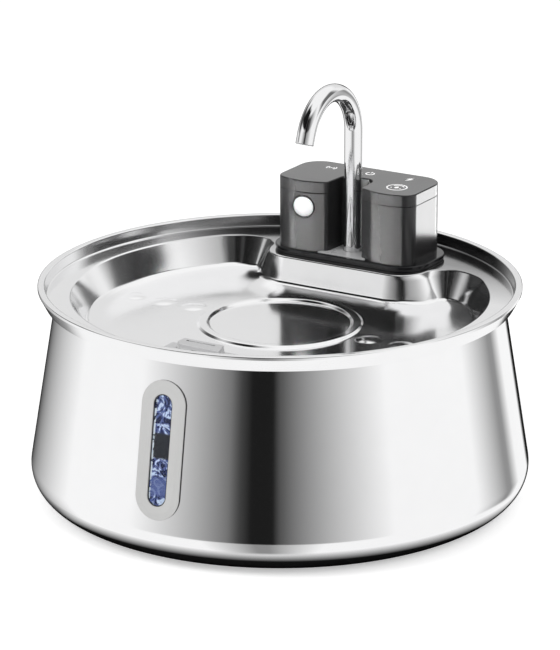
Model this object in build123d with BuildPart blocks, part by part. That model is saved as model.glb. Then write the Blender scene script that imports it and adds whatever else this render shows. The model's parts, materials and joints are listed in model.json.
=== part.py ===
from build123d import *
import os
from math import cos, radians, sin, sqrt, tan

# Pet water fountain: a conical steel tank, a lift-off drinking tray, a battery
# pump unit seated on the tray's rear platform and a swivelling gooseneck
# faucet. Millimetres, +Z up, the front of the fountain faces -Y. The origin
# is under the centre of the tank, on the surface that it stands on.

# ---------------------------------------------------------------- sizes ----

# Running and assembly clearances
RUNNING_GAP = 0.05  # radial, a shaft or a tube that turns in its bore
SEAT_GAP = 0.2  # under a piece that is lifted off by hand
SLIP_GAP = 0.5  # round a piece that is lifted out through an opening

# Tank
FOOT_PROUD = 1.5  # the foot ring holds the shell this far off the floor
FOOT_RADIUS = 104.0  # middle of the foot ring
FOOT_WIDTH = 12.0
TANK_RADIUS = 130.0  # widest radius, just above the rounded foot corner
TANK_CORNER = 16.4  # radius of the rounded foot corner
WALL_LEAN = 9.3  # inward lean of the wall, in degrees from vertical
SHEET = 0.8  # steel sheet of the tank and of the tray
BASE_RECESS = 2.0  # the middle of the base is pressed up by this much
BASE_RECESS_RADIUS = 90.0
RIM_FLANGE = 4.0  # width of the flat flange that carries the tray

# Tray
LIP_HEIGHT = 113.9  # top of the tray rim
LIP_RADIUS = 124.8
RIM_FLAT = 3.7  # flat band on top of the rim
RIM_BEAD = 1.65  # height of the rim's outer edge band
SKIRT_DROP = 8.25  # the rim's outer skirt ends this far under the lip
SKIRT_INSET = 3.5  # and this far inside the lip
SKIRT_THICKNESS = 1.0
LEDGE_DROP = 6.4  # the flat ledge, below the lip
LEDGE_INNER_RADIUS = 108.1
POOL_WALL_RUN = 6.3  # how far the pool wall leans in on its way down
POOL_WALL_DROP = 11.9
FLOOR_DROP = 23.2  # the pool floor, below the lip
FLOOR_FLAT_RADIUS = 85.0
RIDGE_OUTER_RADIUS = 43.2  # raised ring on the pool floor
RIDGE_INNER_RADIUS = 36.4
RIDGE_HEIGHT = 1.5
RIDGE_SLOPE = 1.6
STUD_DOME_DIAMETER = 13.5  # low domes pressed up in a row across the floor
STUD_DOME_HEIGHT = 0.9
STUD_DOME_PLACES = (53.0, 71.5, 90.0)  # each side of the middle, along X

# Rear platform of the tray
PLATFORM_FRONT = 55.4  # front edge, along Y
PLATFORM_CORNER = 17.0
PLATFORM_HALF = 47.4  # half width at the front corners
PLATFORM_LEAN = 12.0  # lean of the platform's wall, in degrees
PLATFORM_BACK = 113.0
POCKET_RADIUS = 12.5  # concave corner beside the platform
POCKET_BACK = 80.8

# Drain and filter cartridge at the front of the pool
DRAIN_HALF = 26.0
DRAIN_BACK = -61.0
DRAIN_RADIUS = 84.0
COVER_OVERLAP = 2.4
COVER_THICKNESS = 1.6
GRIP_WIDTH = 19.5
GRIP_DEPTH = 9.5
GRIP_HEIGHT = 13.0
GRIP_Y = -80.5
GRIP_GROOVE = 1.0
COVER_SLOT_WIDTH = 2.0
COVER_SLOT_LENGTH = 9.0
COVER_SLOT_PITCH = 4.0
COVER_SLOT_ROWS = 4
BASKET_DEPTH = 24.0
BASKET_WALL = 1.2
BASKET_HOLE = 2.2
BASKET_HOLE_PITCH = 5.0
FOAM_THICKNESS = 10.0
CARBON_THICKNESS = 9.0

# Level window in the front of the tank
WINDOW_HEIGHT = 60.5  # centre of the window, above the floor
WINDOW_TURN = 2.7  # degrees to the right of the front, round the tank
FRAME_WIDTH = 25.3
FRAME_LENGTH = 71.6
FRAME_PROUD = 1.5
LENS_WIDTH = 10.4
LENS_LENGTH = 58.0
LENS_SUNK = 0.7  # the lens face lies this far under the frame face
LENS_FLANGE = 2.8
LENS_FLANGE_THICKNESS = 1.6
WINDOW_GASKET = 1.2
CLAMP_THICKNESS = 2.4
CLAMP_INSET = 0.8
STUD_DIAMETER = 3.0
STUD_PLACE = 32.4  # from the window's centre, up and down
NUT_WIDTH = 5.5
NUT_THICKNESS = 2.2

# Gooseneck faucet
TUBE_DIAMETER = 9.6
TUBE_WALL = 0.8
TUBE_Y = 75.2
NECK_RADIUS = 25.2  # of the centreline
NECK_SPRING = 176.8  # height at which the tube leaves the vertical
NECK_TILT = 20.0  # the outlet points this far forward of straight down
SPOUT_STRAIGHT = 4.9

# Housing of the pump unit
HOUSING_HALF = 41.2
HOUSING_FRONT = 61.7
HOUSING_BACK = 102.5
HOUSING_TOP = 149.0
HOUSING_BACK_ROUND = 12.0
HOUSING_FRONT_ROUND = 9.5
LOBE_FLAT = 28.0  # the lobe's front turns toward the slot from here
MOUTH_HALF = 10.4
MOUTH_Y = 65.2
MOUTH_ROUND = 2.4
LOBE_ROUND = 18.0  # soft turn between the lobe's front and its slanted part
SLOT_HALF = 9.2
SLOT_BACK = 82.9
SLOT_ROUND = 5.0
LID_HEIGHT = 6.4
HOUSING_WALL = 1.8
LID_TOP = 2.0
LID_EDGE_ROUND = 0.6
LID_PLUG = 1.1
LID_SEAL_WIDTH = 1.2

# Base plate of the pump unit and its gasket
SEAT_HALF = 45.9
SEAT_FRONT = 60.0
SEAT_BACK = 105.0
SEAT_ROUND = 16.0
PLATE_THICKNESS = 1.5
GASKET_THICKNESS = 1.4
GASKET_INSET = 0.4
GASKET_NECK = 2.4

# Tower that hangs under the base plate and holds the pump
TOWER_HALF = 24.0
TOWER_DEPTH = 30.0
TOWER_Y = 81.5
TOWER_ROUND = 4.0
TOWER_WALL = 1.6
TOWER_BOTTOM = 8.0
TOWER_FOOT = 3.0
OPENING_MARGIN = 2.0
INLET_SLOT_WIDTH = 2.4
INLET_SLOT_LENGTH = 20.0
INLET_SLOT_PITCH = 6.0
INLET_SLOT_COUNT = 6

# Faucet socket and hose
SOCKET_DIAMETER = 13.6
SOCKET_DEPTH = 10.0
SOCKET_SEAL_WIDTH = 1.0
SOCKET_SEAL_HEIGHT = 2.0
NIPPLE_DIAMETER = 9.0
NIPPLE_BORE = 6.0
NIPPLE_LENGTH = 8.0
NIPPLE_FLANGE = 1.6
HOSE_WALL = 1.5
HOSE_CLIP_WIDTH = 4.0
HOSE_CLIP_WALL = 0.7
COLLAR_HEIGHT = 12.0
COLLAR_WALL = 2.0
TOWER_SCREW_Y = 8.0  # each side of the tower's middle
TOWER_SCREW_DROP = 8.0  # below the base plate
HOOK_THICKNESS = 1.3
HOOK_WIDTH = 10.0
HOOK_HEIGHT = 6.0
LEAD_DIAMETER = 3.0
GROMMET_WALL = 0.9

# Pump
PUMP_TOP = 40.0
PUMP_DEPTH = 26.0
PUMP_LEFT = -4.5
PUMP_RIGHT = 18.4
CHAMBER_RADIUS = 10.5
CHAMBER_Z = 23.0
CHAMBER_WIDTH = 9.0
NOZZLE_LENGTH = 7.0
WELL_DIAMETER = 11.0
WELL_WALL = 1.0
WELL_END = 16.4
STATOR_DIAMETER = 22.0
STATOR_LEFT = 6.0
MOTOR_CAP = 2.0
PUMP_COVER = 2.5
INTAKE_DIAMETER = 9.0
SHAFT_DIAMETER = 2.0
SHAFT_BOSS_DIAMETER = 4.4
SPIDER_WIDTH = 1.4
ROTOR_DIAMETER = 10.0
ROTOR_END = 15.6
ROTOR_START = 5.2
HUB_DIAMETER = 5.0
IMPELLER_DIAMETER = 18.4
IMPELLER_DISC = 1.4
BLADE_WIDTH = 1.1
BLADE_COUNT = 6
IMPELLER_SIDE_GAP = 0.6
SPONGE_GAP = 0.3

# Battery, boards and sensor inside the housing
BATTERY_WIDTH = 60.0
BATTERY_DEPTH = 15.0
BATTERY_HEIGHT = 13.5
BATTERY_BOTTOM = 122.4
CRADLE_THICKNESS = 1.2
CRADLE_LEG = 4.0
CRADLE_LEG_X = 24.0
BOARD_THICKNESS = 1.6
BOARD_BOTTOM = 138.0
BOARD_INSET = 3.4
BOSS_DIAMETER = 6.0
BOSS_X = 36.6
BOSS_FRONT_Y = 72.5
BOSS_BACK_Y = 91.0
SCREW_DIAMETER = 2.5
SCREW_HEAD = 4.6
SCREW_HEAD_HEIGHT = 1.2
SCREW_LENGTH = 8.0
PUMP_SCREW = 2.0
BOARD_SCREW_LENGTH = 6.0
LIGHT_SIZE = 2.0
LIGHT_HEIGHT = 1.0
LIGHT_PITCH = 7.0
SENSOR_X = -21.5
SENSOR_DROP = 14.8  # sensor centre below the top of the housing
SENSOR_RING_DIAMETER = 14.4
SENSOR_RING_PROUD = 0.35
SENSOR_DIAMETER = 13.0
SENSOR_DOME = 2.2
SENSOR_TUBE = 7.0
SMALL_BOARD = 1.2  # thickness of the sensor's and the socket's boards
SENSOR_BOARD_WIDTH = 15.0
SENSOR_CAN_DIAMETER = 8.2
SENSOR_CAN_HEIGHT = 3.0

# Charging port in the back of the housing
PORT_HEIGHT = 116.8
PORT_WIDTH = 10.4
PORT_TALL = 4.6
SOCKET_WIDTH = 9.0
SOCKET_TALL = 3.2
SOCKET_LENGTH = 7.4
SOCKET_SHELL = 0.4
PORT_BOARD_WIDTH = 18.0
PORT_BOARD_DEPTH = 13.0
FLAP_WIDTH = 18.0
FLAP_THICKNESS = 1.6
FLAP_ABOVE = 4.4
FLAP_BELOW = 4.0
FLAP_GAP = 0.25
BARREL_DIAMETER = 2.6
HINGE_PIN = 1.2
HINGE_EAR = 1.8
PLUG_DEPTH = 0.4
PLUG_GAP = 0.5

# ------------------------------------------------------- derived places ----

WALL_START_RADIUS = TANK_RADIUS - TANK_CORNER * (1 - cos(radians(WALL_LEAN)))
WALL_START_HEIGHT = FOOT_PROUD + TANK_CORNER * (1 + sin(radians(WALL_LEAN)))
LEDGE_HEIGHT = LIP_HEIGHT - LEDGE_DROP
FLOOR_HEIGHT = LIP_HEIGHT - FLOOR_DROP
CREASE_HEIGHT = LEDGE_HEIGHT - POOL_WALL_DROP
CREASE_RADIUS = LEDGE_INNER_RADIUS - POOL_WALL_RUN
RIM_INNER_RADIUS = LIP_RADIUS - RIM_FLAT
TANK_TOP = LEDGE_HEIGHT - SHEET - SEAT_GAP

PLATE_BOTTOM = LEDGE_HEIGHT + SEAT_GAP + GASKET_THICKNESS
PLATE_TOP = PLATE_BOTTOM + PLATE_THICKNESS
SEAM_HEIGHT = HOUSING_TOP - LID_HEIGHT
TOWER_TOP = PLATE_BOTTOM
TOWER_SCREW_Z = PLATE_BOTTOM - TOWER_SCREW_DROP
PUMP_BOTTOM = TOWER_BOTTOM
SEAT_MIDDLE = (SEAT_FRONT + SEAT_BACK) / 2

NOZZLE_BORE = NIPPLE_BORE
CHAMBER_Y = TUBE_Y + CHAMBER_RADIUS - NOZZLE_BORE / 2
SOCKET_BOTTOM = PLATE_TOP - SOCKET_DEPTH
TUBE_BOTTOM = SOCKET_BOTTOM + SEAT_GAP
NIPPLE_SHOULDER = SOCKET_BOTTOM - NIPPLE_FLANGE
NOZZLE_TOP = PUMP_TOP + NOZZLE_LENGTH
HOSE_BORE = NIPPLE_DIAMETER + 2 * RUNNING_GAP
HOSE_DIAMETER = HOSE_BORE + 2 * HOSE_WALL
HINGE_HEIGHT = PORT_HEIGHT - FLAP_BELOW
HINGE_Y = HOUSING_BACK + FLAP_GAP + BARREL_DIAMETER / 2

os.makedirs("parts", exist_ok=True)


def wall_radius(height, inset=0.0):
    """Radius of the leaning tank wall at a height, drawn in by a thickness."""
    lean = radians(WALL_LEAN)
    outer = WALL_START_RADIUS - (height - WALL_START_HEIGHT) * tan(lean)
    return outer - inset / cos(lean)


def tank_section(inset, top):
    """Half section inside the tank's skin, drawn in by inset, up to top."""
    lean = radians(WALL_LEAN)
    arc_radius = TANK_CORNER - inset
    arc_x = TANK_RADIUS - TANK_CORNER
    arc_z = FOOT_PROUD + TANK_CORNER
    base = FOOT_PROUD + inset
    middle = radians(WALL_LEAN - 90) / 2
    with BuildSketch(Plane.XZ) as section:
        with BuildLine():
            bottom = Polyline(
                (0, base + BASE_RECESS),
                (BASE_RECESS_RADIUS, base + BASE_RECESS),
                (BASE_RECESS_RADIUS + 2 * BASE_RECESS, base),
                (arc_x, base),
            )
            corner = ThreePointArc(
                bottom @ 1,
                (arc_x + arc_radius * cos(middle), arc_z + arc_radius * sin(middle)),
                (arc_x + arc_radius * cos(lean), arc_z + arc_radius * sin(lean)),
            )
            wall = Line(corner @ 1, (wall_radius(top, inset), top))
            Polyline(wall @ 1, (0, top), (0, base + BASE_RECESS))
        make_face()
    return section.sketch


def export(part, name):
    """Label a finished sub-part and write it as its own STEP file."""
    part.label = name
    export_step(part, f"parts/{name}.step")


# ================================================================= tank ====

# Plane of the level window: tangent to the wall, turned a little from the
# front, X to the right, Y up the wall, Z outward.
lean_angle = radians(WALL_LEAN)
turn_angle = radians(WINDOW_TURN)
window_radius = wall_radius(WINDOW_HEIGHT)
WINDOW_PLANE = Plane(
    origin=(window_radius * sin(turn_angle), -window_radius * cos(turn_angle), WINDOW_HEIGHT),
    x_dir=(cos(turn_angle), sin(turn_angle), 0),
    z_dir=(
        cos(lean_angle) * sin(turn_angle),
        -cos(lean_angle) * cos(turn_angle),
        sin(lean_angle),
    ),
)
LENS_CUT_WIDTH = LENS_WIDTH + 2 * RUNNING_GAP
LENS_CUT_LENGTH = LENS_LENGTH + 2 * RUNNING_GAP
STUD_SPOTS = ((0, STUD_PLACE), (0, -STUD_PLACE))

# Full solid inside the tank's outer skin, and the same inside the inner skin
with BuildPart() as tank_outside:
    revolve(tank_section(0, TANK_TOP), axis=Axis.Z)

with BuildPart() as tank_inside:
    revolve(tank_section(SHEET, TANK_TOP), axis=Axis.Z)

with BuildPart() as tank_shell:
    add(tank_outside.part)
    add(tank_inside.part, mode=Mode.SUBTRACT)
    # flat flange turned inward round the mouth, which carries the tray
    with BuildSketch(Plane.XZ):
        flange_outer = wall_radius(TANK_TOP, SHEET / 2)
        flange_inner = wall_radius(TANK_TOP, SHEET) - RIM_FLANGE
        with BuildLine():
            Polyline(
                (flange_inner, TANK_TOP - SHEET),
                (flange_outer, TANK_TOP - SHEET),
                (flange_outer, TANK_TOP),
                (flange_inner, TANK_TOP),
                close=True,
            )
        make_face()
    revolve(axis=Axis.Z)
    # cut-out for the window and its two studs
    with BuildSketch(WINDOW_PLANE):
        SlotOverall(LENS_CUT_LENGTH, LENS_CUT_WIDTH, rotation=90)
        with Locations(*STUD_SPOTS):
            Circle(STUD_DIAMETER / 2 + RUNNING_GAP)
    extrude(amount=TANK_CORNER / 2, both=True, mode=Mode.SUBTRACT)
export(tank_shell.part, "tank_shell")

# Silicone foot ring bonded under the base
with BuildPart() as foot_ring:
    with BuildSketch(Plane.XY):
        Circle(FOOT_RADIUS + FOOT_WIDTH / 2)
        Circle(FOOT_RADIUS - FOOT_WIDTH / 2, mode=Mode.SUBTRACT)
    extrude(amount=FOOT_PROUD)
    chamfer(foot_ring.faces().sort_by(Axis.Z)[0].edges(), FOOT_PROUD / 3)
export(foot_ring.part, "foot_ring")

# Window frame: outer bezel with two studs that pass through the wall
FRAME_REACH = 3.0
STUD_END = SHEET + WINDOW_GASKET + LENS_FLANGE_THICKNESS + CLAMP_THICKNESS + NUT_THICKNESS
with BuildPart() as window_frame:
    with BuildSketch(WINDOW_PLANE.offset(-FRAME_REACH)):
        SlotOverall(FRAME_LENGTH, FRAME_WIDTH, rotation=90)
    extrude(amount=FRAME_REACH + FRAME_PROUD)
    fillet(
        window_frame.edges().group_by(Axis(WINDOW_PLANE.origin, WINDOW_PLANE.z_dir))[-1],
        FRAME_PROUD / 2,
    )
    add(tank_outside.part, mode=Mode.SUBTRACT)
    with BuildSketch(WINDOW_PLANE):
        with Locations(*STUD_SPOTS):
            Circle(STUD_DIAMETER / 2)
    extrude(amount=-STUD_END)
    with BuildSketch(WINDOW_PLANE.offset(FRAME_PROUD)):
        SlotOverall(LENS_CUT_LENGTH, LENS_CUT_WIDTH, rotation=90)
    extrude(amount=-FRAME_PROUD - FRAME_REACH, mode=Mode.SUBTRACT)
export(window_frame.part, "window_frame")

# Window lens: clear plug with a flange behind the wall
FLANGE_WIDTH = LENS_WIDTH + 2 * LENS_FLANGE
FLANGE_LENGTH = LENS_LENGTH + 2 * LENS_FLANGE
FLANGE_FRONT = -SHEET - WINDOW_GASKET
FLANGE_BACK = FLANGE_FRONT - LENS_FLANGE_THICKNESS
FLANGE_STUD_GAP = 0.2
with BuildPart() as window_lens:
    with BuildSketch(WINDOW_PLANE.offset(FLANGE_BACK)):
        SlotOverall(LENS_LENGTH, LENS_WIDTH, rotation=90)
    extrude(amount=FRAME_PROUD - LENS_SUNK - FLANGE_BACK)
    with BuildSketch(WINDOW_PLANE.offset(FLANGE_BACK)):
        SlotOverall(FLANGE_LENGTH, FLANGE_WIDTH, rotation=90)
        with Locations(*STUD_SPOTS):
            Circle(STUD_DIAMETER / 2 + FLANGE_STUD_GAP, mode=Mode.SUBTRACT)
    extrude(amount=LENS_FLANGE_THICKNESS)
export(window_lens.part, "window_lens")

# Window gasket: fills the space between the flange and the curved wall
CLAMP_WIDTH = FRAME_WIDTH - 2 * CLAMP_INSET
CLAMP_LENGTH = FRAME_LENGTH - 2 * CLAMP_INSET
with BuildPart() as window_gasket:
    with BuildSketch(WINDOW_PLANE.offset(FLANGE_FRONT)):
        SlotOverall(CLAMP_LENGTH, CLAMP_WIDTH, rotation=90)
        SlotOverall(LENS_CUT_LENGTH, LENS_CUT_WIDTH, rotation=90, mode=Mode.SUBTRACT)
        with Locations(*STUD_SPOTS):
            Circle(STUD_DIAMETER / 2 + RUNNING_GAP, mode=Mode.SUBTRACT)
    extrude(amount=WINDOW_GASKET + SHEET)
    revolve(
        tank_section(SHEET + RUNNING_GAP, TANK_TOP), axis=Axis.Z, mode=Mode.INTERSECT
    )
export(window_gasket.part, "window_gasket")

# Window clamp: inner ring that presses the lens flange on its gasket
CLAMP_BACK = FLANGE_BACK - CLAMP_THICKNESS
with BuildPart() as window_clamp:
    with BuildSketch(WINDOW_PLANE.offset(CLAMP_BACK)):
        SlotOverall(CLAMP_LENGTH, CLAMP_WIDTH, rotation=90)
        SlotOverall(LENS_LENGTH, LENS_WIDTH, rotation=90, mode=Mode.SUBTRACT)
        with Locations(*STUD_SPOTS):
            Circle(STUD_DIAMETER / 2 + RUNNING_GAP, mode=Mode.SUBTRACT)
    extrude(amount=CLAMP_THICKNESS + LENS_FLANGE_THICKNESS)
    with BuildSketch(WINDOW_PLANE.offset(FLANGE_BACK)):
        SlotOverall(
            FLANGE_LENGTH + 2 * RUNNING_GAP, FLANGE_WIDTH + 2 * RUNNING_GAP, rotation=90
        )
    extrude(amount=LENS_FLANGE_THICKNESS, mode=Mode.SUBTRACT)
export(window_clamp.part, "window_clamp")

# Two hexagonal nuts on the studs
with BuildPart() as window_nuts:
    with BuildSketch(WINDOW_PLANE.offset(CLAMP_BACK)):
        with Locations(*STUD_SPOTS):
            RegularPolygon(NUT_WIDTH / 2, 6, major_radius=False)
            Circle(STUD_DIAMETER / 2 + RUNNING_GAP, mode=Mode.SUBTRACT)
    extrude(amount=-NUT_THICKNESS)
export(window_nuts.part, "window_nuts")

# ================================================================= tray ====

# Convex and concave corners of the rear platform's plan. The concave pocket
# runs into the edge of the ledge through a wider arc that is tangent to it.
CONVEX_X = PLATFORM_HALF - PLATFORM_CORNER
CONVEX_Y = PLATFORM_FRONT + PLATFORM_CORNER
POCKET_Y = POCKET_BACK - POCKET_RADIUS
CORNER_SPAN = PLATFORM_CORNER + POCKET_RADIUS
POCKET_X = CONVEX_X + sqrt(CORNER_SPAN**2 - (CONVEX_Y - POCKET_Y) ** 2)
BLEND_RADIUS = (LEDGE_INNER_RADIUS**2 - POCKET_X**2 - POCKET_BACK**2) / (
    2 * (LEDGE_INNER_RADIUS - POCKET_BACK)
)
PAN_BOTTOM = FLOOR_HEIGHT - SHEET
PLATFORM_SPREAD = (LEDGE_HEIGHT - PAN_BOTTOM) * tan(radians(PLATFORM_LEAN))


def platform_plan(inset, height):
    """Plan of the rear platform at a height, drawn inward by inset."""
    corner = PLATFORM_CORNER - inset
    pocket = POCKET_RADIUS + inset
    blend = BLEND_RADIUS + inset
    share = corner / CORNER_SPAN
    turn = (
        CONVEX_X + (POCKET_X - CONVEX_X) * share,
        CONVEX_Y + (POCKET_Y - CONVEX_Y) * share,
    )
    front = PLATFORM_FRONT + inset
    blend_y = POCKET_BACK - BLEND_RADIUS
    reach = sqrt(POCKET_X**2 + blend_y**2)
    end = (
        POCKET_X + blend * POCKET_X / reach,
        blend_y + blend * blend_y / reach,
    )
    with BuildSketch(Plane.XY.offset(height)) as plan:
        with BuildLine():
            edge = Line((0, front), (CONVEX_X, front))
            round_corner = TangentArc(edge @ 1, turn, tangent=edge % 1)
            hollow = TangentArc(
                round_corner @ 1, (POCKET_X, POCKET_Y + pocket), tangent=round_corner % 1
            )
            sweep_out = TangentArc(hollow @ 1, end, tangent=hollow % 1)
            Polyline(sweep_out @ 1, (end[0], PLATFORM_BACK), (0, PLATFORM_BACK))
            mirror(about=Plane.YZ)
        make_face()
    return plan.sketch


def rounded_opening(margin, height):
    """Plan of the opening that the pump tower passes, with a margin round it."""
    with BuildSketch(Plane.XY.offset(height)) as plan:
        with Locations((0, TOWER_Y)):
            RectangleRounded(
                2 * (TOWER_HALF + margin), TOWER_DEPTH + 2 * margin, TOWER_ROUND + margin
            )
    return plan.sketch


def drain_plan(growth, height):
    """Plan of the drain: a strip of the pool floor with a curved front edge."""
    with BuildSketch(Plane.XY.offset(height)) as plan:
        Circle(DRAIN_RADIUS + growth)
        with Locations((0, DRAIN_BACK + growth)):
            Rectangle(
                2 * (DRAIN_HALF + growth),
                2 * DRAIN_RADIUS,
                align=(Align.CENTER, Align.MAX),
                mode=Mode.INTERSECT,
            )
    return plan.sketch


def pool_skin():
    """Upper surface of the tray's half section, from the axis to the rim."""
    ridge = Polyline(
        (0, FLOOR_HEIGHT),
        (RIDGE_INNER_RADIUS, FLOOR_HEIGHT),
        (RIDGE_INNER_RADIUS + RIDGE_SLOPE, FLOOR_HEIGHT + RIDGE_HEIGHT),
        (RIDGE_OUTER_RADIUS - RIDGE_SLOPE, FLOOR_HEIGHT + RIDGE_HEIGHT),
        (RIDGE_OUTER_RADIUS, FLOOR_HEIGHT),
        (FLOOR_FLAT_RADIUS, FLOOR_HEIGHT),
    )
    rise = TangentArc(ridge @ 1, (CREASE_RADIUS, CREASE_HEIGHT), tangent=(1, 0))
    return Polyline(
        rise @ 1,
        (LEDGE_INNER_RADIUS, LEDGE_HEIGHT),
        (RIM_INNER_RADIUS - SHEET / 2, LEDGE_HEIGHT),
        (RIM_INNER_RADIUS, LIP_HEIGHT),
    )


# Space above the tray's skin, up to the level of the lip
with BuildPart() as pool_space:
    with BuildSketch(Plane.XZ):
        with BuildLine():
            skin_end = pool_skin() @ 1
            Polyline(skin_end, (0, LIP_HEIGHT), (0, FLOOR_HEIGHT))
        make_face()
    revolve(axis=Axis.Z)

# Rear platform: a block inside that space, under the level of the ledge
with BuildPart() as platform_block:
    loft([platform_plan(0, LEDGE_HEIGHT), platform_plan(-PLATFORM_SPREAD, PAN_BOTTOM)])
    add(pool_space.part, mode=Mode.INTERSECT)

# Low domes on the pool floor: the tops of large balls
DOME_BALL = (STUD_DOME_DIAMETER**2 / 4 + STUD_DOME_HEIGHT**2) / (2 * STUD_DOME_HEIGHT)
DOME_CENTRES = [
    (side * place, 0, FLOOR_HEIGHT + STUD_DOME_HEIGHT - DOME_BALL)
    for place in STUD_DOME_PLACES
    for side in (-1, 1)
]
with BuildPart() as floor_domes:
    with Locations(*DOME_CENTRES):
        Sphere(DOME_BALL)
    with BuildSketch(Plane.XY.offset(FLOOR_HEIGHT - SHEET / 2)):
        Circle(CREASE_RADIUS)
    extrude(amount=2 * STUD_DOME_HEIGHT, mode=Mode.INTERSECT)

with BuildPart() as tray_pan:
    # pressed sheet: the skin thickened downward
    with BuildSketch(Plane.XZ):
        with BuildLine():
            pool_skin()
            offset(amount=SHEET, side=Side.RIGHT)
        make_face()
    revolve(axis=Axis.Z)
    # folded rim with its skirt
    with BuildSketch(Plane.XZ) as rim_section:
        with BuildLine():
            Polyline(
                (RIM_INNER_RADIUS, LIP_HEIGHT),
                (LIP_RADIUS, LIP_HEIGHT),
                (LIP_RADIUS, LIP_HEIGHT - RIM_BEAD),
                (LIP_RADIUS - SKIRT_INSET, LIP_HEIGHT - SKIRT_DROP),
                (LIP_RADIUS - SKIRT_INSET - SKIRT_THICKNESS, LIP_HEIGHT - SKIRT_DROP),
                (LIP_RADIUS - SKIRT_INSET - SKIRT_THICKNESS, LEDGE_HEIGHT - SHEET / 2),
                (RIM_INNER_RADIUS - SHEET / 2, LEDGE_HEIGHT),
                close=True,
            )
        make_face()
        fillet(rim_section.vertices().group_by(Axis.X)[-1], RIM_BEAD / 3)
    revolve(axis=Axis.Z)
    # rear platform, hollow underneath
    add(platform_block.part)
    loft(
        [
            platform_plan(SHEET, LEDGE_HEIGHT - SHEET),
            platform_plan(SHEET - PLATFORM_SPREAD, PAN_BOTTOM - SHEET),
        ],
        mode=Mode.SUBTRACT,
    )
    # opening for the pump tower and opening for the filter cartridge
    extrude(
        rounded_opening(OPENING_MARGIN, LEDGE_HEIGHT),
        amount=-2 * SHEET,
        mode=Mode.SUBTRACT,
    )
    extrude(drain_plan(0, FLOOR_HEIGHT), amount=-2 * SHEET, mode=Mode.SUBTRACT)
    # low domes in a row across the floor, hollow underneath
    add(floor_domes.part)
    with Locations(*DOME_CENTRES):
        Sphere(DOME_BALL - SHEET, mode=Mode.SUBTRACT)
export(tray_pan.part, "tray_pan")

# ===================================================== filter cartridge ====

COVER_BOTTOM = FLOOR_HEIGHT + SEAT_GAP
COVER_TOP = COVER_BOTTOM + COVER_THICKNESS
GRIP_TOP = FLOOR_HEIGHT + GRIP_HEIGHT
GRIP_FRONT = GRIP_Y - GRIP_DEPTH / 2
GRIP_BACK = GRIP_Y + GRIP_DEPTH / 2
BASKET_BOTTOM = COVER_BOTTOM - BASKET_DEPTH

# Cover with its grip block: the one piece of the cartridge that is seen
with BuildPart() as filter_cover:
    extrude(drain_plan(COVER_OVERLAP, COVER_BOTTOM), amount=COVER_THICKNESS)
    fillet(filter_cover.faces().sort_by(Axis.Z)[-1].edges(), COVER_THICKNESS / 3)
    with BuildSketch(Plane.XY.offset(COVER_TOP)) as grip_plan:
        with BuildLine():
            Polyline(
                (-GRIP_WIDTH / 2, GRIP_FRONT + GRIP_DEPTH / 3),
                (-GRIP_WIDTH / 2, GRIP_BACK),
                (GRIP_WIDTH / 2, GRIP_BACK),
                (GRIP_WIDTH / 2 + GRIP_GROOVE, GRIP_FRONT),
                (-GRIP_WIDTH / 3, GRIP_FRONT),
                close=True,
            )
        make_face()
        fillet(grip_plan.vertices(), GRIP_GROOVE)
    extrude(amount=GRIP_TOP - COVER_TOP)
    fillet(filter_cover.faces().sort_by(Axis.Z)[-1].edges(), GRIP_GROOVE / 2)
    # groove along the grip's top, a small vent hole and a slot in its front
    with BuildSketch(Plane.XY.offset(GRIP_TOP)):
        with Locations((0, GRIP_BACK - GRIP_DEPTH / 3)):
            SlotOverall(GRIP_WIDTH * 3 / 4, GRIP_GROOVE)
        with Locations((-GRIP_WIDTH * 3 / 8, GRIP_BACK - GRIP_DEPTH / 3)):
            Circle(GRIP_GROOVE)
    extrude(amount=-GRIP_GROOVE, mode=Mode.SUBTRACT)
    with BuildSketch(Plane.XZ.offset(-GRIP_FRONT)):
        with Locations((0, (GRIP_TOP + COVER_TOP) / 2)):
            SlotOverall(GRIP_WIDTH / 2, 2 * GRIP_GROOVE)
    extrude(amount=-GRIP_GROOVE, mode=Mode.SUBTRACT)
    # water slots on both sides of the grip
    slot_x = (GRIP_WIDTH / 2 + DRAIN_HALF) / 2
    slot_y = DRAIN_BACK - COVER_SLOT_PITCH * (COVER_SLOT_ROWS + 1) / 2
    with BuildSketch(Plane.XY.offset(COVER_TOP)):
        for side in (-slot_x, slot_x):
            with Locations((side, slot_y)):
                with GridLocations(0, COVER_SLOT_PITCH, 1, COVER_SLOT_ROWS):
                    SlotOverall(COVER_SLOT_LENGTH, COVER_SLOT_WIDTH)
    extrude(amount=-COVER_THICKNESS, mode=Mode.SUBTRACT)
export(filter_cover.part, "filter_cover")

# Basket that hangs through the drain, with a perforated bottom
with BuildPart() as filter_basket:
    extrude(drain_plan(-SLIP_GAP, COVER_BOTTOM), amount=-BASKET_DEPTH)
    extrude(
        drain_plan(-SLIP_GAP - BASKET_WALL, COVER_BOTTOM),
        amount=-BASKET_DEPTH + BASKET_WALL,
        mode=Mode.SUBTRACT,
    )
    with BuildSketch(Plane.XY.offset(BASKET_BOTTOM)):
        columns = int(2 * DRAIN_HALF / BASKET_HOLE_PITCH)
        rows = int((DRAIN_RADIUS + DRAIN_BACK) / BASKET_HOLE_PITCH)
        with Locations((0, (DRAIN_BACK - DRAIN_RADIUS) / 2)):
            with GridLocations(BASKET_HOLE_PITCH, BASKET_HOLE_PITCH, columns, rows):
                Circle(BASKET_HOLE / 2)
        add(drain_plan(-SLIP_GAP - 2 * BASKET_WALL, BASKET_BOTTOM), mode=Mode.INTERSECT)
    extrude(amount=BASKET_WALL, mode=Mode.SUBTRACT)
export(filter_basket.part, "filter_basket")

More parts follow.
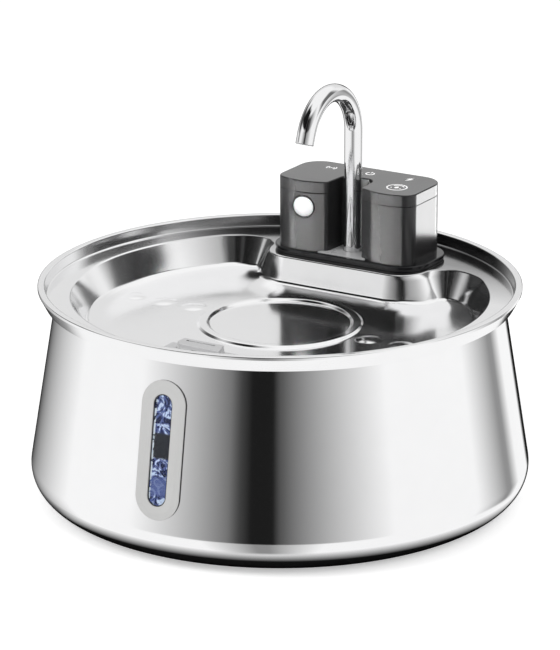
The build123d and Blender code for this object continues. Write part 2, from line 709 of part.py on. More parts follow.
# Foam block on the basket's bottom and a carbon pouch over it
FILTER_INSET = SLIP_GAP + BASKET_WALL + SPONGE_GAP
FOAM_BOTTOM = BASKET_BOTTOM + BASKET_WALL
with BuildPart() as filter_foam:
    extrude(drain_plan(-FILTER_INSET, FOAM_BOTTOM), amount=FOAM_THICKNESS)
export(filter_foam.part, "filter_foam")

with BuildPart() as carbon_pouch:
    extrude(
        drain_plan(-FILTER_INSET, FOAM_BOTTOM + FOAM_THICKNESS),
        amount=CARBON_THICKNESS,
    )
    fillet(carbon_pouch.faces().sort_by(Axis.Z)[-1].edges(), CARBON_THICKNESS / 4)
export(carbon_pouch.part, "carbon_pouch")

# ============================================== base plate and its seat ====

BOSS_SPOTS = (
    (-BOSS_X, BOSS_FRONT_Y),
    (BOSS_X, BOSS_FRONT_Y),
    (-BOSS_X, BOSS_BACK_Y),
    (BOSS_X, BOSS_BACK_Y),
)
TUBE_BORE = TUBE_DIAMETER / 2 + RUNNING_GAP
SEAL_MIDDLE = (PLATE_TOP + SOCKET_BOTTOM) / 2
PORT_BOARD_TOP = PORT_HEIGHT - SOCKET_TALL / 2
PORT_BOARD_BOTTOM = PORT_BOARD_TOP - SMALL_BOARD
PORT_BOARD_Y = HOUSING_BACK - HOUSING_WALL - PORT_BOARD_DEPTH / 2 - RUNNING_GAP
PORT_POST_X = PORT_BOARD_WIDTH / 3
LEAD_SPOT = (TOWER_HALF / 2, TOWER_Y + TOWER_DEPTH / 4)
LEAD_HOLE = LEAD_DIAMETER / 2 + GROMMET_WALL


def seat_plan(inset, height):
    """Rounded plan of the base plate, drawn inward by inset."""
    with BuildSketch(Plane.XY.offset(height)) as plan:
        with Locations((0, SEAT_MIDDLE)):
            RectangleRounded(
                2 * (SEAT_HALF - inset),
                SEAT_BACK - SEAT_FRONT - 2 * inset,
                SEAT_ROUND - inset,
            )
    return plan.sketch


# Silicone gasket under the plate, with a neck that lines the opening
with BuildPart() as seat_gasket:
    extrude(seat_plan(GASKET_INSET, PLATE_BOTTOM), amount=-GASKET_THICKNESS)
    extrude(
        rounded_opening(OPENING_MARGIN - SLIP_GAP, PLATE_BOTTOM),
        amount=-GASKET_THICKNESS - GASKET_NECK,
    )
    extrude(
        rounded_opening(RUNNING_GAP, PLATE_BOTTOM),
        amount=-GASKET_THICKNESS - GASKET_NECK,
        mode=Mode.SUBTRACT,
    )
    with BuildSketch(Plane.XY.offset(PLATE_BOTTOM)):
        with Locations(*BOSS_SPOTS):
            Circle(SCREW_HEAD / 2 + RUNNING_GAP)
    extrude(amount=-GASKET_THICKNESS, mode=Mode.SUBTRACT)
export(seat_gasket.part, "seat_gasket")

# Base plate: flange, faucet socket, collar for the tower, board posts
with BuildPart() as housing_base:
    extrude(seat_plan(0, PLATE_BOTTOM), amount=PLATE_THICKNESS)
    fillet(housing_base.faces().sort_by(Axis.Z)[-1].edges(), PLATE_THICKNESS / 3)
    extrude(
        rounded_opening(-TOWER_WALL - RUNNING_GAP, PLATE_BOTTOM),
        amount=-COLLAR_HEIGHT,
    )
    extrude(
        rounded_opening(-TOWER_WALL - RUNNING_GAP - COLLAR_WALL, PLATE_BOTTOM),
        amount=-COLLAR_HEIGHT,
        mode=Mode.SUBTRACT,
    )
    with BuildSketch(Plane.XY.offset(SOCKET_BOTTOM)):
        with Locations((0, TUBE_Y)):
            Circle(SOCKET_DIAMETER / 2)
    extrude(amount=PLATE_TOP - SOCKET_BOTTOM)
    # room beside the collar for the nipple and the hose
    with BuildSketch(Plane.XY.offset(SOCKET_BOTTOM)):
        with Locations((0, TUBE_Y)):
            Circle(SOCKET_DIAMETER / 2 + RUNNING_GAP)
    extrude(amount=-COLLAR_HEIGHT, mode=Mode.SUBTRACT)
    with BuildSketch(Plane.XY.offset(SOCKET_BOTTOM)):
        with Locations((0, TUBE_Y)):
            Circle(TUBE_BORE)
    extrude(amount=PLATE_TOP - SOCKET_BOTTOM, mode=Mode.SUBTRACT)
    with BuildSketch(Plane.XY.offset(SEAL_MIDDLE)):
        with Locations((0, TUBE_Y)):
            Circle(TUBE_BORE + SOCKET_SEAL_WIDTH)
    extrude(amount=SOCKET_SEAL_HEIGHT / 2, both=True, mode=Mode.SUBTRACT)
    with BuildSketch(Plane.XY.offset(PLATE_TOP)):
        with Locations((-PORT_POST_X, PORT_BOARD_Y), (PORT_POST_X, PORT_BOARD_Y)):
            Circle(CRADLE_LEG / 2)
    extrude(amount=PORT_BOARD_BOTTOM - PLATE_TOP)
    with BuildSketch(Plane.XY.offset(PLATE_BOTTOM)):
        with Locations(*BOSS_SPOTS):
            Circle(SCREW_DIAMETER / 2 + RUNNING_GAP)
        with Locations(LEAD_SPOT):
            Circle(LEAD_HOLE)
    extrude(amount=PLATE_THICKNESS, mode=Mode.SUBTRACT)
    # screw holes through the collar for the tower
    with BuildSketch(Plane.YZ.offset(-TOWER_HALF)):
        with Locations(
            (TOWER_Y - TOWER_SCREW_Y, TOWER_SCREW_Z), (TOWER_Y + TOWER_SCREW_Y, TOWER_SCREW_Z)
        ):
            Circle(SCREW_DIAMETER / 2 + RUNNING_GAP)
    extrude(amount=2 * TOWER_HALF, mode=Mode.SUBTRACT)
export(housing_base.part, "housing_base")

# Seal ring in the faucet socket
with BuildPart() as socket_seal:
    with BuildSketch(Plane.XY.offset(SEAL_MIDDLE)):
        with Locations((0, TUBE_Y)):
            Circle(TUBE_BORE + SOCKET_SEAL_WIDTH - RUNNING_GAP)
            Circle(TUBE_BORE, mode=Mode.SUBTRACT)
    extrude(amount=SOCKET_SEAL_HEIGHT / 2 - RUNNING_GAP, both=True)
export(socket_seal.part, "socket_seal")

# Screws from under the plate into the housing's bosses
with BuildPart() as housing_screws:
    with BuildSketch(Plane.XY.offset(PLATE_BOTTOM)):
        with Locations(*BOSS_SPOTS):
            Circle(SCREW_HEAD / 2)
    extrude(amount=-SCREW_HEAD_HEIGHT)
    with BuildSketch(Plane.XY.offset(PLATE_BOTTOM)):
        with Locations(*BOSS_SPOTS):
            Circle(SCREW_DIAMETER / 2)
    extrude(amount=SCREW_LENGTH)
export(housing_screws.part, "housing_screws")

# ========================================================= pump housing ====

LOBE_TURN_RUN = LOBE_FLAT - MOUTH_HALF
LOBE_TURN_RISE = MOUTH_Y - HOUSING_FRONT
SENSOR_PLANE = Plane(
    origin=(
        SENSOR_X,
        HOUSING_FRONT + (SENSOR_X + LOBE_FLAT) * LOBE_TURN_RISE / LOBE_TURN_RUN,
        HOUSING_TOP - SENSOR_DROP,
    ),
    x_dir=(LOBE_TURN_RUN, LOBE_TURN_RISE, 0),
    z_dir=(LOBE_TURN_RISE, -LOBE_TURN_RUN, 0),
)


def housing_plan(inset, height):
    """Plan of the housing: two lobes round the faucet slot, drawn inward."""
    with BuildSketch(Plane.XY.offset(height)) as plan:
        with BuildLine():
            FilletPolyline(
                (0, SLOT_BACK),
                (SLOT_HALF, SLOT_BACK),
                (MOUTH_HALF, MOUTH_Y),
                (LOBE_FLAT, HOUSING_FRONT),
                (HOUSING_HALF, HOUSING_FRONT),
                (HOUSING_HALF, HOUSING_BACK),
                (0, HOUSING_BACK),
                radius=[
                    SLOT_ROUND,
                    MOUTH_ROUND,
                    LOBE_ROUND,
                    HOUSING_FRONT_ROUND,
                    HOUSING_BACK_ROUND,
                ],
            )
            mirror(about=Plane.YZ)
        make_face()
        if inset:
            offset(amount=-inset)
    return plan.sketch


with BuildPart() as housing_shell:
    extrude(housing_plan(0, PLATE_TOP), amount=SEAM_HEIGHT - PLATE_TOP)
    extrude(
        housing_plan(HOUSING_WALL, PLATE_TOP),
        amount=SEAM_HEIGHT - PLATE_TOP,
        mode=Mode.SUBTRACT,
    )
    # four bosses carry the control board and take the screws
    with BuildSketch(Plane.XY.offset(PLATE_TOP)):
        with Locations(*BOSS_SPOTS):
            Circle(BOSS_DIAMETER / 2)
    extrude(amount=BOARD_BOTTOM - PLATE_TOP)
    with BuildSketch(Plane.XY.offset(PLATE_TOP)):
        with Locations(*BOSS_SPOTS):
            Circle(SCREW_DIAMETER / 2 + RUNNING_GAP)
    extrude(amount=BOARD_BOTTOM - PLATE_TOP, mode=Mode.SUBTRACT)
    # hole for the sensor
    with BuildSketch(SENSOR_PLANE):
        Circle(SENSOR_RING_DIAMETER / 2 + RUNNING_GAP)
    extrude(amount=-2 * HOUSING_WALL, mode=Mode.SUBTRACT)
    # hole for the charging port, and the two ears of the flap's hinge
    with BuildSketch(Plane.XZ.offset(-HOUSING_BACK)):
        with Locations((0, PORT_HEIGHT)):
            SlotOverall(PORT_WIDTH, PORT_TALL)
    extrude(amount=HOUSING_WALL, mode=Mode.SUBTRACT)
    for ear_start in (FLAP_WIDTH / 2 + FLAP_GAP, -FLAP_WIDTH / 2 - FLAP_GAP - HINGE_EAR):
        with BuildSketch(Plane.YZ.offset(ear_start)):
            with Locations((HINGE_Y, HINGE_HEIGHT)):
                Circle(BARREL_DIAMETER / 2)
            with Locations((HINGE_Y, HINGE_HEIGHT)):
                Rectangle(
                    HINGE_Y - HOUSING_BACK + HOUSING_WALL / 2,
                    BARREL_DIAMETER,
                    align=(Align.MAX, Align.CENTER),
                )
            with Locations((HINGE_Y, HINGE_HEIGHT)):
                Circle(HINGE_PIN / 2 + RUNNING_GAP, mode=Mode.SUBTRACT)
        extrude(amount=HINGE_EAR)
export(housing_shell.part, "housing_shell")

# Lid with a plug ring that reaches into the housing
PLUG_INSET = HOUSING_WALL + LID_SEAL_WIDTH
with BuildPart() as housing_lid:
    extrude(housing_plan(0, SEAM_HEIGHT), amount=LID_HEIGHT)
    fillet(housing_lid.faces().sort_by(Axis.Z)[-1].edges(), LID_EDGE_ROUND)
    extrude(
        housing_plan(HOUSING_WALL, SEAM_HEIGHT),
        amount=LID_HEIGHT - LID_TOP,
        mode=Mode.SUBTRACT,
    )
    extrude(
        housing_plan(PLUG_INSET, SEAM_HEIGHT - LID_PLUG),
        amount=LID_HEIGHT - LID_TOP + LID_PLUG,
    )
    extrude(
        housing_plan(PLUG_INSET + LID_SEAL_WIDTH, SEAM_HEIGHT - LID_PLUG),
        amount=LID_HEIGHT - LID_TOP + LID_PLUG,
        mode=Mode.SUBTRACT,
    )
export(housing_lid.part, "housing_lid")

with BuildPart() as lid_seal:
    extrude(
        housing_plan(HOUSING_WALL + RUNNING_GAP, SEAM_HEIGHT - LID_PLUG),
        amount=LID_PLUG,
    )
    extrude(
        housing_plan(PLUG_INSET - RUNNING_GAP, SEAM_HEIGHT - LID_PLUG),
        amount=LID_PLUG,
        mode=Mode.SUBTRACT,
    )
export(lid_seal.part, "lid_seal")

# ---- motion sensor in the left lobe ----
LENS_SEAT = SENSOR_DOME * 3 / 4
SENSOR_BORE = SENSOR_DIAMETER - 2 * SMALL_BOARD

with BuildPart() as sensor_bezel:
    with BuildSketch(SENSOR_PLANE.offset(SENSOR_RING_PROUD)):
        Circle(SENSOR_RING_DIAMETER / 2)
    extrude(amount=-SENSOR_RING_PROUD - SENSOR_TUBE)
    with BuildSketch(SENSOR_PLANE.offset(SENSOR_RING_PROUD)):
        Circle(SENSOR_DIAMETER / 2 + RUNNING_GAP)
    extrude(amount=-SENSOR_RING_PROUD - LENS_SEAT, mode=Mode.SUBTRACT)
    with BuildSketch(SENSOR_PLANE):
        Circle(SENSOR_BORE / 2)
    extrude(amount=-SENSOR_TUBE, mode=Mode.SUBTRACT)
export(sensor_bezel.part, "sensor_bezel")

with BuildPart() as sensor_lens:
    with BuildSketch(SENSOR_PLANE.offset(-LENS_SEAT)):
        Circle(SENSOR_DIAMETER / 2)
    extrude(amount=LENS_SEAT)
    dome_ball = (SENSOR_DIAMETER**2 / 4 + SENSOR_DOME**2) / (2 * SENSOR_DOME)
    dome_plane = SENSOR_PLANE.offset(SENSOR_DOME - dome_ball)
    with BuildSketch(SENSOR_PLANE):
        Circle(SENSOR_DIAMETER / 2)
    extrude(amount=SENSOR_DOME)
    with Locations(dome_plane):
        Sphere(dome_ball, mode=Mode.INTERSECT)
export(sensor_lens.part, "sensor_lens")

with BuildPart() as sensor_board:
    with BuildSketch(SENSOR_PLANE.offset(-SENSOR_TUBE)):
        RectangleRounded(SENSOR_BOARD_WIDTH, SENSOR_BOARD_WIDTH, SMALL_BOARD)
    extrude(amount=-SMALL_BOARD)
export(sensor_board.part, "sensor_board")

with BuildPart() as sensor_element:
    with BuildSketch(SENSOR_PLANE.offset(-SENSOR_TUBE)):
        Circle(SENSOR_CAN_DIAMETER / 2)
    extrude(amount=SENSOR_CAN_HEIGHT)
    chamfer(sensor_element.edges(), SMALL_BOARD / 4)
export(sensor_element.part, "sensor_element")

# ---- control board, status lights and its screws ----
BOARD_TOP = BOARD_BOTTOM + BOARD_THICKNESS
BOARD_NOTCH_WIDTH = SENSOR_BOARD_WIDTH + 2 * SLIP_GAP
BOARD_NOTCH_DEPTH = SENSOR_TUBE + SMALL_BOARD + SLIP_GAP
with BuildPart() as control_board:
    extrude(housing_plan(BOARD_INSET, BOARD_BOTTOM), amount=BOARD_THICKNESS)
    with BuildSketch(SENSOR_PLANE):
        Rectangle(BOARD_NOTCH_WIDTH, 2 * SENSOR_DROP)
    extrude(amount=-BOARD_NOTCH_DEPTH, mode=Mode.SUBTRACT)
    with BuildSketch(Plane.XY.offset(BOARD_BOTTOM)):
        with Locations(*BOSS_SPOTS):
            Circle(SCREW_DIAMETER / 2 + RUNNING_GAP)
    extrude(amount=BOARD_THICKNESS, mode=Mode.SUBTRACT)
export(control_board.part, "control_board")

LIGHT_Y = (MOUTH_Y + SLOT_BACK) / 2
with BuildPart() as status_lights:
    with BuildSketch(Plane.XY.offset(BOARD_TOP)):
        with Locations((LOBE_FLAT - LIGHT_SIZE, LIGHT_Y)):
            with GridLocations(LIGHT_PITCH, 0, 3, 1):
                Rectangle(LIGHT_SIZE, LIGHT_SIZE)
    extrude(amount=LIGHT_HEIGHT)
export(status_lights.part, "status_lights")

with BuildPart() as board_screws:
    with BuildSketch(Plane.XY.offset(BOARD_TOP)):
        with Locations(*BOSS_SPOTS):
            Circle(SCREW_HEAD / 2)
    extrude(amount=SCREW_HEAD_HEIGHT)
    with BuildSketch(Plane.XY.offset(BOARD_TOP)):
        with Locations(*BOSS_SPOTS):
            Circle(SCREW_DIAMETER / 2)
    extrude(amount=-BOARD_SCREW_LENGTH)
export(board_screws.part, "board_screws")

# ---- battery and its cradle ----
BATTERY_Y = (SLOT_BACK + HOUSING_BACK) / 2
CRADLE_BOTTOM = BATTERY_BOTTOM - CRADLE_THICKNESS
with BuildPart() as battery_cradle:
    with BuildSketch(Plane.XY.offset(CRADLE_BOTTOM)):
        with Locations((0, BATTERY_Y)):
            Rectangle(BATTERY_WIDTH, BATTERY_DEPTH)
    extrude(amount=CRADLE_THICKNESS)
    with BuildSketch(Plane.XY.offset(PLATE_TOP)):
        with Locations((0, BATTERY_Y)):
            with GridLocations(2 * CRADLE_LEG_X, BATTERY_DEPTH - CRADLE_LEG, 2, 2):
                Rectangle(CRADLE_LEG, CRADLE_LEG)
    extrude(amount=CRADLE_BOTTOM - PLATE_TOP)
export(battery_cradle.part, "battery_cradle")

with BuildPart() as battery_pack:
    with BuildSketch(Plane.XY.offset(BATTERY_BOTTOM)):
        with Locations((0, BATTERY_Y)):
            Rectangle(BATTERY_WIDTH, BATTERY_DEPTH)
    extrude(amount=BATTERY_HEIGHT)
    fillet(battery_pack.edges().filter_by(Axis.X), CRADLE_THICKNESS)
export(battery_pack.part, "battery_pack")

# ---- charging socket on its own board, flap and hinge pin ----
with BuildPart() as charge_board:
    with BuildSketch(Plane.XY.offset(PORT_BOARD_BOTTOM)):
        with Locations((0, PORT_BOARD_Y)):
            Rectangle(PORT_BOARD_WIDTH, PORT_BOARD_DEPTH)
    extrude(amount=SMALL_BOARD)
export(charge_board.part, "charge_board")

SOCKET_FACE = HOUSING_BACK - HOUSING_WALL / 3
with BuildPart() as charge_socket:
    with BuildSketch(Plane.XZ.offset(-SOCKET_FACE)):
        with Locations((0, PORT_HEIGHT)):
            RectangleRounded(SOCKET_WIDTH, SOCKET_TALL, SOCKET_TALL / 3)
    extrude(amount=SOCKET_LENGTH)
    with BuildSketch(Plane.XZ.offset(-SOCKET_FACE)):
        with Locations((0, PORT_HEIGHT)):
            RectangleRounded(
                SOCKET_WIDTH - 2 * SOCKET_SHELL,
                SOCKET_TALL - 2 * SOCKET_SHELL,
                SOCKET_TALL / 3 - SOCKET_SHELL,
            )
            Rectangle(SOCKET_WIDTH * 3 / 4, SOCKET_SHELL * 2, mode=Mode.SUBTRACT)
    extrude(amount=SOCKET_LENGTH - 2 * SOCKET_SHELL, mode=Mode.SUBTRACT)
export(charge_socket.part, "charge_socket")

FLAP_FACE = HOUSING_BACK + FLAP_GAP
with BuildPart() as charge_flap:
    with BuildSketch(Plane.XZ.offset(-FLAP_FACE)):
        with Locations((0, HINGE_HEIGHT)):
            Rectangle(
                FLAP_WIDTH,
                FLAP_BELOW + FLAP_ABOVE,
                align=(Align.CENTER, Align.MIN),
            )
    extrude(amount=-FLAP_THICKNESS)
    fillet(charge_flap.edges().filter_by(Axis.Y).group_by(Axis.Z)[-1], FLAP_THICKNESS)
    with BuildSketch(Plane.YZ.offset(-FLAP_WIDTH / 2)):
        with Locations((HINGE_Y, HINGE_HEIGHT)):
            Circle(BARREL_DIAMETER / 2)
    extrude(amount=FLAP_WIDTH)
    with BuildSketch(Plane.XZ.offset(-FLAP_FACE)):
        with Locations((0, PORT_HEIGHT)):
            SlotOverall(PORT_WIDTH - 2 * PLUG_GAP, PORT_TALL - 2 * PLUG_GAP)
    extrude(amount=FLAP_GAP + PLUG_DEPTH)
    with BuildSketch(Plane.YZ.offset(-FLAP_WIDTH / 2)):
        with Locations((HINGE_Y, HINGE_HEIGHT)):
            Circle(HINGE_PIN / 2 + RUNNING_GAP)
    extrude(amount=FLAP_WIDTH, mode=Mode.SUBTRACT)
export(charge_flap.part, "charge_flap")

PIN_LENGTH = FLAP_WIDTH + 2 * (FLAP_GAP + HINGE_EAR)
with BuildPart() as flap_pin:
    with BuildSketch(Plane.YZ):
        with Locations((HINGE_Y, HINGE_HEIGHT)):
            Circle(HINGE_PIN / 2)
    extrude(amount=PIN_LENGTH / 2, both=True)
export(flap_pin.part, "flap_pin")

# ====================================================== tower and hose =====

INLET_BOTTOM = TOWER_BOTTOM + 2 * TOWER_WALL

# Tower: a rounded tube under the base plate with water slots at its foot
with BuildPart() as pump_tower:
    extrude(rounded_opening(0, TOWER_BOTTOM), amount=TOWER_TOP - TOWER_BOTTOM)
    extrude(
        rounded_opening(-TOWER_WALL, TOWER_BOTTOM),
        amount=TOWER_TOP - TOWER_BOTTOM,
        mode=Mode.SUBTRACT,
    )
    with BuildSketch(Plane.XZ.offset(-TOWER_Y)):
        with Locations((0, INLET_BOTTOM + INLET_SLOT_LENGTH / 2)):
            with GridLocations(INLET_SLOT_PITCH, 0, INLET_SLOT_COUNT, 1):
                SlotOverall(INLET_SLOT_LENGTH, INLET_SLOT_WIDTH, rotation=90)
    extrude(amount=TOWER_DEPTH, both=True, mode=Mode.SUBTRACT)
    with BuildSketch(Plane.YZ.offset(-TOWER_HALF)):
        with Locations(
            (TOWER_Y - TOWER_SCREW_Y, TOWER_SCREW_Z), (TOWER_Y + TOWER_SCREW_Y, TOWER_SCREW_Z)
        ):
            Circle(SCREW_DIAMETER / 2 + RUNNING_GAP)
    extrude(amount=2 * TOWER_HALF, mode=Mode.SUBTRACT)
export(pump_tower.part, "pump_tower")

# Screws through the tower's sides into the collar
with BuildPart() as tower_screws:
    for face, inward in ((-TOWER_HALF, 1), (TOWER_HALF, -1)):
        with BuildSketch(Plane.YZ.offset(face)):
            with Locations(
                (TOWER_Y - TOWER_SCREW_Y, TOWER_SCREW_Z),
                (TOWER_Y + TOWER_SCREW_Y, TOWER_SCREW_Z),
            ):
                Circle(SCREW_DIAMETER / 2)
        extrude(amount=inward * (TOWER_WALL + RUNNING_GAP + COLLAR_WALL))
        with BuildSketch(Plane.YZ.offset(face)):
            with Locations(
                (TOWER_Y - TOWER_SCREW_Y, TOWER_SCREW_Z),
                (TOWER_Y + TOWER_SCREW_Y, TOWER_SCREW_Z),
            ):
                Circle(SCREW_HEAD / 2)
        extrude(amount=-inward * SCREW_HEAD_HEIGHT)
export(tower_screws.part, "tower_screws")

# Foot plate that closes the tower, with two snap hooks inside its walls
HOOK_X = TOWER_HALF - TOWER_WALL - RUNNING_GAP - HOOK_THICKNESS / 2
with BuildPart() as tower_foot:
    extrude(rounded_opening(0, TOWER_BOTTOM), amount=-TOWER_FOOT)
    with BuildSketch(Plane.XY.offset(TOWER_BOTTOM)):
        with Locations((-HOOK_X, TOWER_Y), (HOOK_X, TOWER_Y)):
            Rectangle(HOOK_THICKNESS, HOOK_WIDTH)
    extrude(amount=HOOK_HEIGHT)
    with BuildSketch(Plane.XY.offset(TOWER_BOTTOM)):
        with Locations((0, TOWER_Y)):
            with GridLocations(INLET_SLOT_PITCH, 0, INLET_SLOT_COUNT, 1):
                SlotOverall(INLET_SLOT_LENGTH, INLET_SLOT_WIDTH, rotation=90)
    extrude(amount=-TOWER_FOOT, mode=Mode.SUBTRACT)
export(tower_foot.part, "tower_foot")

# Nipple under the socket, hose down to the pump and its two clips
with BuildPart() as hose_nipple:
    with BuildSketch(Plane.XY.offset(SOCKET_BOTTOM)):
        with Locations((0, TUBE_Y)):
            Circle(SOCKET_DIAMETER / 2)
    extrude(amount=-NIPPLE_FLANGE)
    with BuildSketch(Plane.XY.offset(NIPPLE_SHOULDER)):
        with Locations((0, TUBE_Y)):
            Circle(NIPPLE_DIAMETER / 2)
    extrude(amount=-NIPPLE_LENGTH)
    with BuildSketch(Plane.XY.offset(SOCKET_BOTTOM)):
        with Locations((0, TUBE_Y)):
            Circle(NIPPLE_BORE / 2)
    extrude(amount=-NIPPLE_FLANGE - NIPPLE_LENGTH, mode=Mode.SUBTRACT)
export(hose_nipple.part, "hose_nipple")

with BuildPart() as outlet_hose:
    with BuildSketch(Plane.XY.offset(PUMP_TOP)):
        with Locations((0, TUBE_Y)):
            Circle(HOSE_DIAMETER / 2)
            Circle(HOSE_BORE / 2, mode=Mode.SUBTRACT)
    extrude(amount=NIPPLE_SHOULDER - PUMP_TOP)
export(outlet_hose.part, "outlet_hose")

CLIP_BORE = HOSE_DIAMETER / 2 + RUNNING_GAP
with BuildPart() as hose_clips:
    for clip_bottom in (
        PUMP_TOP + HOSE_CLIP_WIDTH / 2,
        NIPPLE_SHOULDER - HOSE_CLIP_WIDTH * 3 / 2,
    ):
        with BuildSketch(Plane.XY.offset(clip_bottom)):
            with Locations((0, TUBE_Y)):
                Circle(CLIP_BORE + HOSE_CLIP_WALL)
                Circle(CLIP_BORE, mode=Mode.SUBTRACT)
        extrude(amount=HOSE_CLIP_WIDTH)
export(hose_clips.part, "hose_clips")

# Two-core lead from the motor up into the housing, and its grommet
with BuildPart() as pump_lead:
    with BuildSketch(Plane.XY.offset(PUMP_TOP)):
        with Locations(LEAD_SPOT):
            Circle(LEAD_DIAMETER / 2)
    extrude(amount=PLATE_TOP + LEAD_DIAMETER - PUMP_TOP)
export(pump_lead.part, "pump_lead")

with BuildPart() as lead_grommet:
    with BuildSketch(Plane.XY.offset(PLATE_BOTTOM)):
        with Locations(LEAD_SPOT):
            Circle(LEAD_HOLE - RUNNING_GAP)
    extrude(amount=PLATE_THICKNESS)
    with BuildSketch(Plane.XY.offset(PLATE_TOP)):
        with Locations(LEAD_SPOT):
            Circle(LEAD_HOLE + GROMMET_WALL)
    extrude(amount=GROMMET_WALL)
    with BuildSketch(Plane.XY.offset(PLATE_BOTTOM)):
        with Locations(LEAD_SPOT):
            Circle(LEAD_DIAMETER / 2 + RUNNING_GAP)
    extrude(amount=PLATE_THICKNESS + GROMMET_WALL, mode=Mode.SUBTRACT)
export(lead_grommet.part, "lead_grommet")

# ================================================================= pump ====

PUMP_MIDDLE_Z = (PUMP_TOP + PUMP_BOTTOM) / 2
PUMP_HEIGHT = PUMP_TOP - PUMP_BOTTOM
CHAMBER_RIGHT = PUMP_LEFT + CHAMBER_WIDTH
COVER_FACE = PUMP_LEFT - PUMP_COVER
PUMP_AXIS = (CHAMBER_Y, CHAMBER_Z)
PUMP_SCREW_INSET = SCREW_HEAD / 2 + RUNNING_GAP

with BuildPart() as pump_body:
    with BuildSketch(Plane.YZ.offset(PUMP_LEFT)):
        with Locations((TOWER_Y, PUMP_MIDDLE_Z)):
            Rectangle(PUMP_DEPTH, PUMP_HEIGHT)
    extrude(amount=PUMP_RIGHT - PUMP_LEFT)
    # outlet nozzle, tangent to the impeller chamber
    with BuildSketch(Plane.XY.offset(PUMP_TOP)):
        with Locations((0, TUBE_Y)):
            Circle(NIPPLE_DIAMETER / 2)
    extrude(amount=NOZZLE_LENGTH)
    with BuildSketch(Plane.XY.offset(CHAMBER_Z)):
        with Locations((0, TUBE_Y)):
            Circle(NOZZLE_BORE / 2)
    extrude(amount=NOZZLE_TOP - CHAMBER_Z, mode=Mode.SUBTRACT)
    with BuildSketch(Plane.YZ.offset(PUMP_LEFT)):
        with Locations(PUMP_AXIS):
            Circle(CHAMBER_RADIUS)
    extrude(amount=CHAMBER_WIDTH, mode=Mode.SUBTRACT)
    with BuildSketch(Plane.YZ.offset(PUMP_LEFT)):
        with Locations(PUMP_AXIS):
            Circle(WELL_DIAMETER / 2)
    extrude(amount=WELL_END - PUMP_LEFT, mode=Mode.SUBTRACT)
    # dry pocket round the rotor well for the stator
    with BuildSketch(Plane.YZ.offset(STATOR_LEFT)):
        with Locations(PUMP_AXIS):
            Circle(STATOR_DIAMETER / 2)
            Circle(WELL_DIAMETER / 2 + WELL_WALL, mode=Mode.SUBTRACT)
    extrude(amount=PUMP_RIGHT - STATOR_LEFT, mode=Mode.SUBTRACT)
    with BuildSketch(Plane.YZ.offset(WELL_END)):
        with Locations(PUMP_AXIS):
            Circle(SHAFT_DIAMETER / 2 + RUNNING_GAP)
    extrude(amount=(PUMP_RIGHT - WELL_END) / 2, mode=Mode.SUBTRACT)
    with BuildSketch(Plane.YZ.offset(PUMP_LEFT)):
        with Locations((TOWER_Y, PUMP_MIDDLE_Z)):
            with GridLocations(
                PUMP_DEPTH - 2 * PUMP_SCREW_INSET, PUMP_HEIGHT - 2 * PUMP_SCREW_INSET, 2, 2
            ):
                Circle(PUMP_SCREW / 2 + RUNNING_GAP)
    extrude(amount=SCREW_LENGTH, mode=Mode.SUBTRACT)
export(pump_body.part, "pump_body")

# Stator ring round the well, and the cap that closes its pocket
with BuildPart() as pump_stator:
    with BuildSketch(Plane.YZ.offset(STATOR_LEFT)):
        with Locations(PUMP_AXIS):
            Circle(STATOR_DIAMETER / 2 - RUNNING_GAP)
            Circle(WELL_DIAMETER / 2 + WELL_WALL + RUNNING_GAP, mode=Mode.SUBTRACT)
    extrude(amount=PUMP_RIGHT - STATOR_LEFT)
export(pump_stator.part, "pump_stator")

with BuildPart() as motor_cap:
    with BuildSketch(Plane.YZ.offset(PUMP_RIGHT)):
        with Locations((TOWER_Y, PUMP_MIDDLE_Z)):
            Rectangle(PUMP_DEPTH, PUMP_HEIGHT)
    extrude(amount=MOTOR_CAP)
    chamfer(motor_cap.faces().sort_by(Axis.X)[-1].edges(), MOTOR_CAP / 3)
export(motor_cap.part, "motor_cap")

# Front cover with the intake and the shaft's front support
with BuildPart() as pump_cover:
    with BuildSketch(Plane.YZ.offset(COVER_FACE)):
        with Locations((TOWER_Y, PUMP_MIDDLE_Z)):
            Rectangle(PUMP_DEPTH, PUMP_HEIGHT)
            with GridLocations(
                PUMP_DEPTH - 2 * PUMP_SCREW_INSET, PUMP_HEIGHT - 2 * PUMP_SCREW_INSET, 2, 2
            ):
                Circle(PUMP_SCREW / 2 + RUNNING_GAP, mode=Mode.SUBTRACT)
        with Locations(PUMP_AXIS):
            Circle(INTAKE_DIAMETER / 2, mode=Mode.SUBTRACT)
            for spoke in range(3):
                Rectangle(
                    INTAKE_DIAMETER / 2 + SPIDER_WIDTH,
                    SPIDER_WIDTH,
                    rotation=spoke * 120,
                    align=(Align.MIN, Align.CENTER),
                )
            Circle(SHAFT_BOSS_DIAMETER / 2)
            Circle(SHAFT_DIAMETER / 2 + RUNNING_GAP, mode=Mode.SUBTRACT)
    extrude(amount=PUMP_COVER)
export(pump_cover.part, "pump_cover")

with BuildPart() as pump_screws:
    with BuildSketch(Plane.YZ.offset(COVER_FACE)):
        with Locations((TOWER_Y, PUMP_MIDDLE_Z)):
            with GridLocations(
                PUMP_DEPTH - 2 * PUMP_SCREW_INSET, PUMP_HEIGHT - 2 * PUMP_SCREW_INSET, 2, 2
            ):
                Circle(PUMP_SCREW / 2)
    extrude(amount=SCREW_LENGTH)
    with BuildSketch(Plane.YZ.offset(COVER_FACE)):
        with Locations((TOWER_Y, PUMP_MIDDLE_Z)):
            with GridLocations(
                PUMP_DEPTH - 2 * PUMP_SCREW_INSET, PUMP_HEIGHT - 2 * PUMP_SCREW_INSET, 2, 2
            ):
                Circle(SCREW_HEAD / 2)
    extrude(amount=-SCREW_HEAD_HEIGHT)
export(pump_screws.part, "pump_screws")

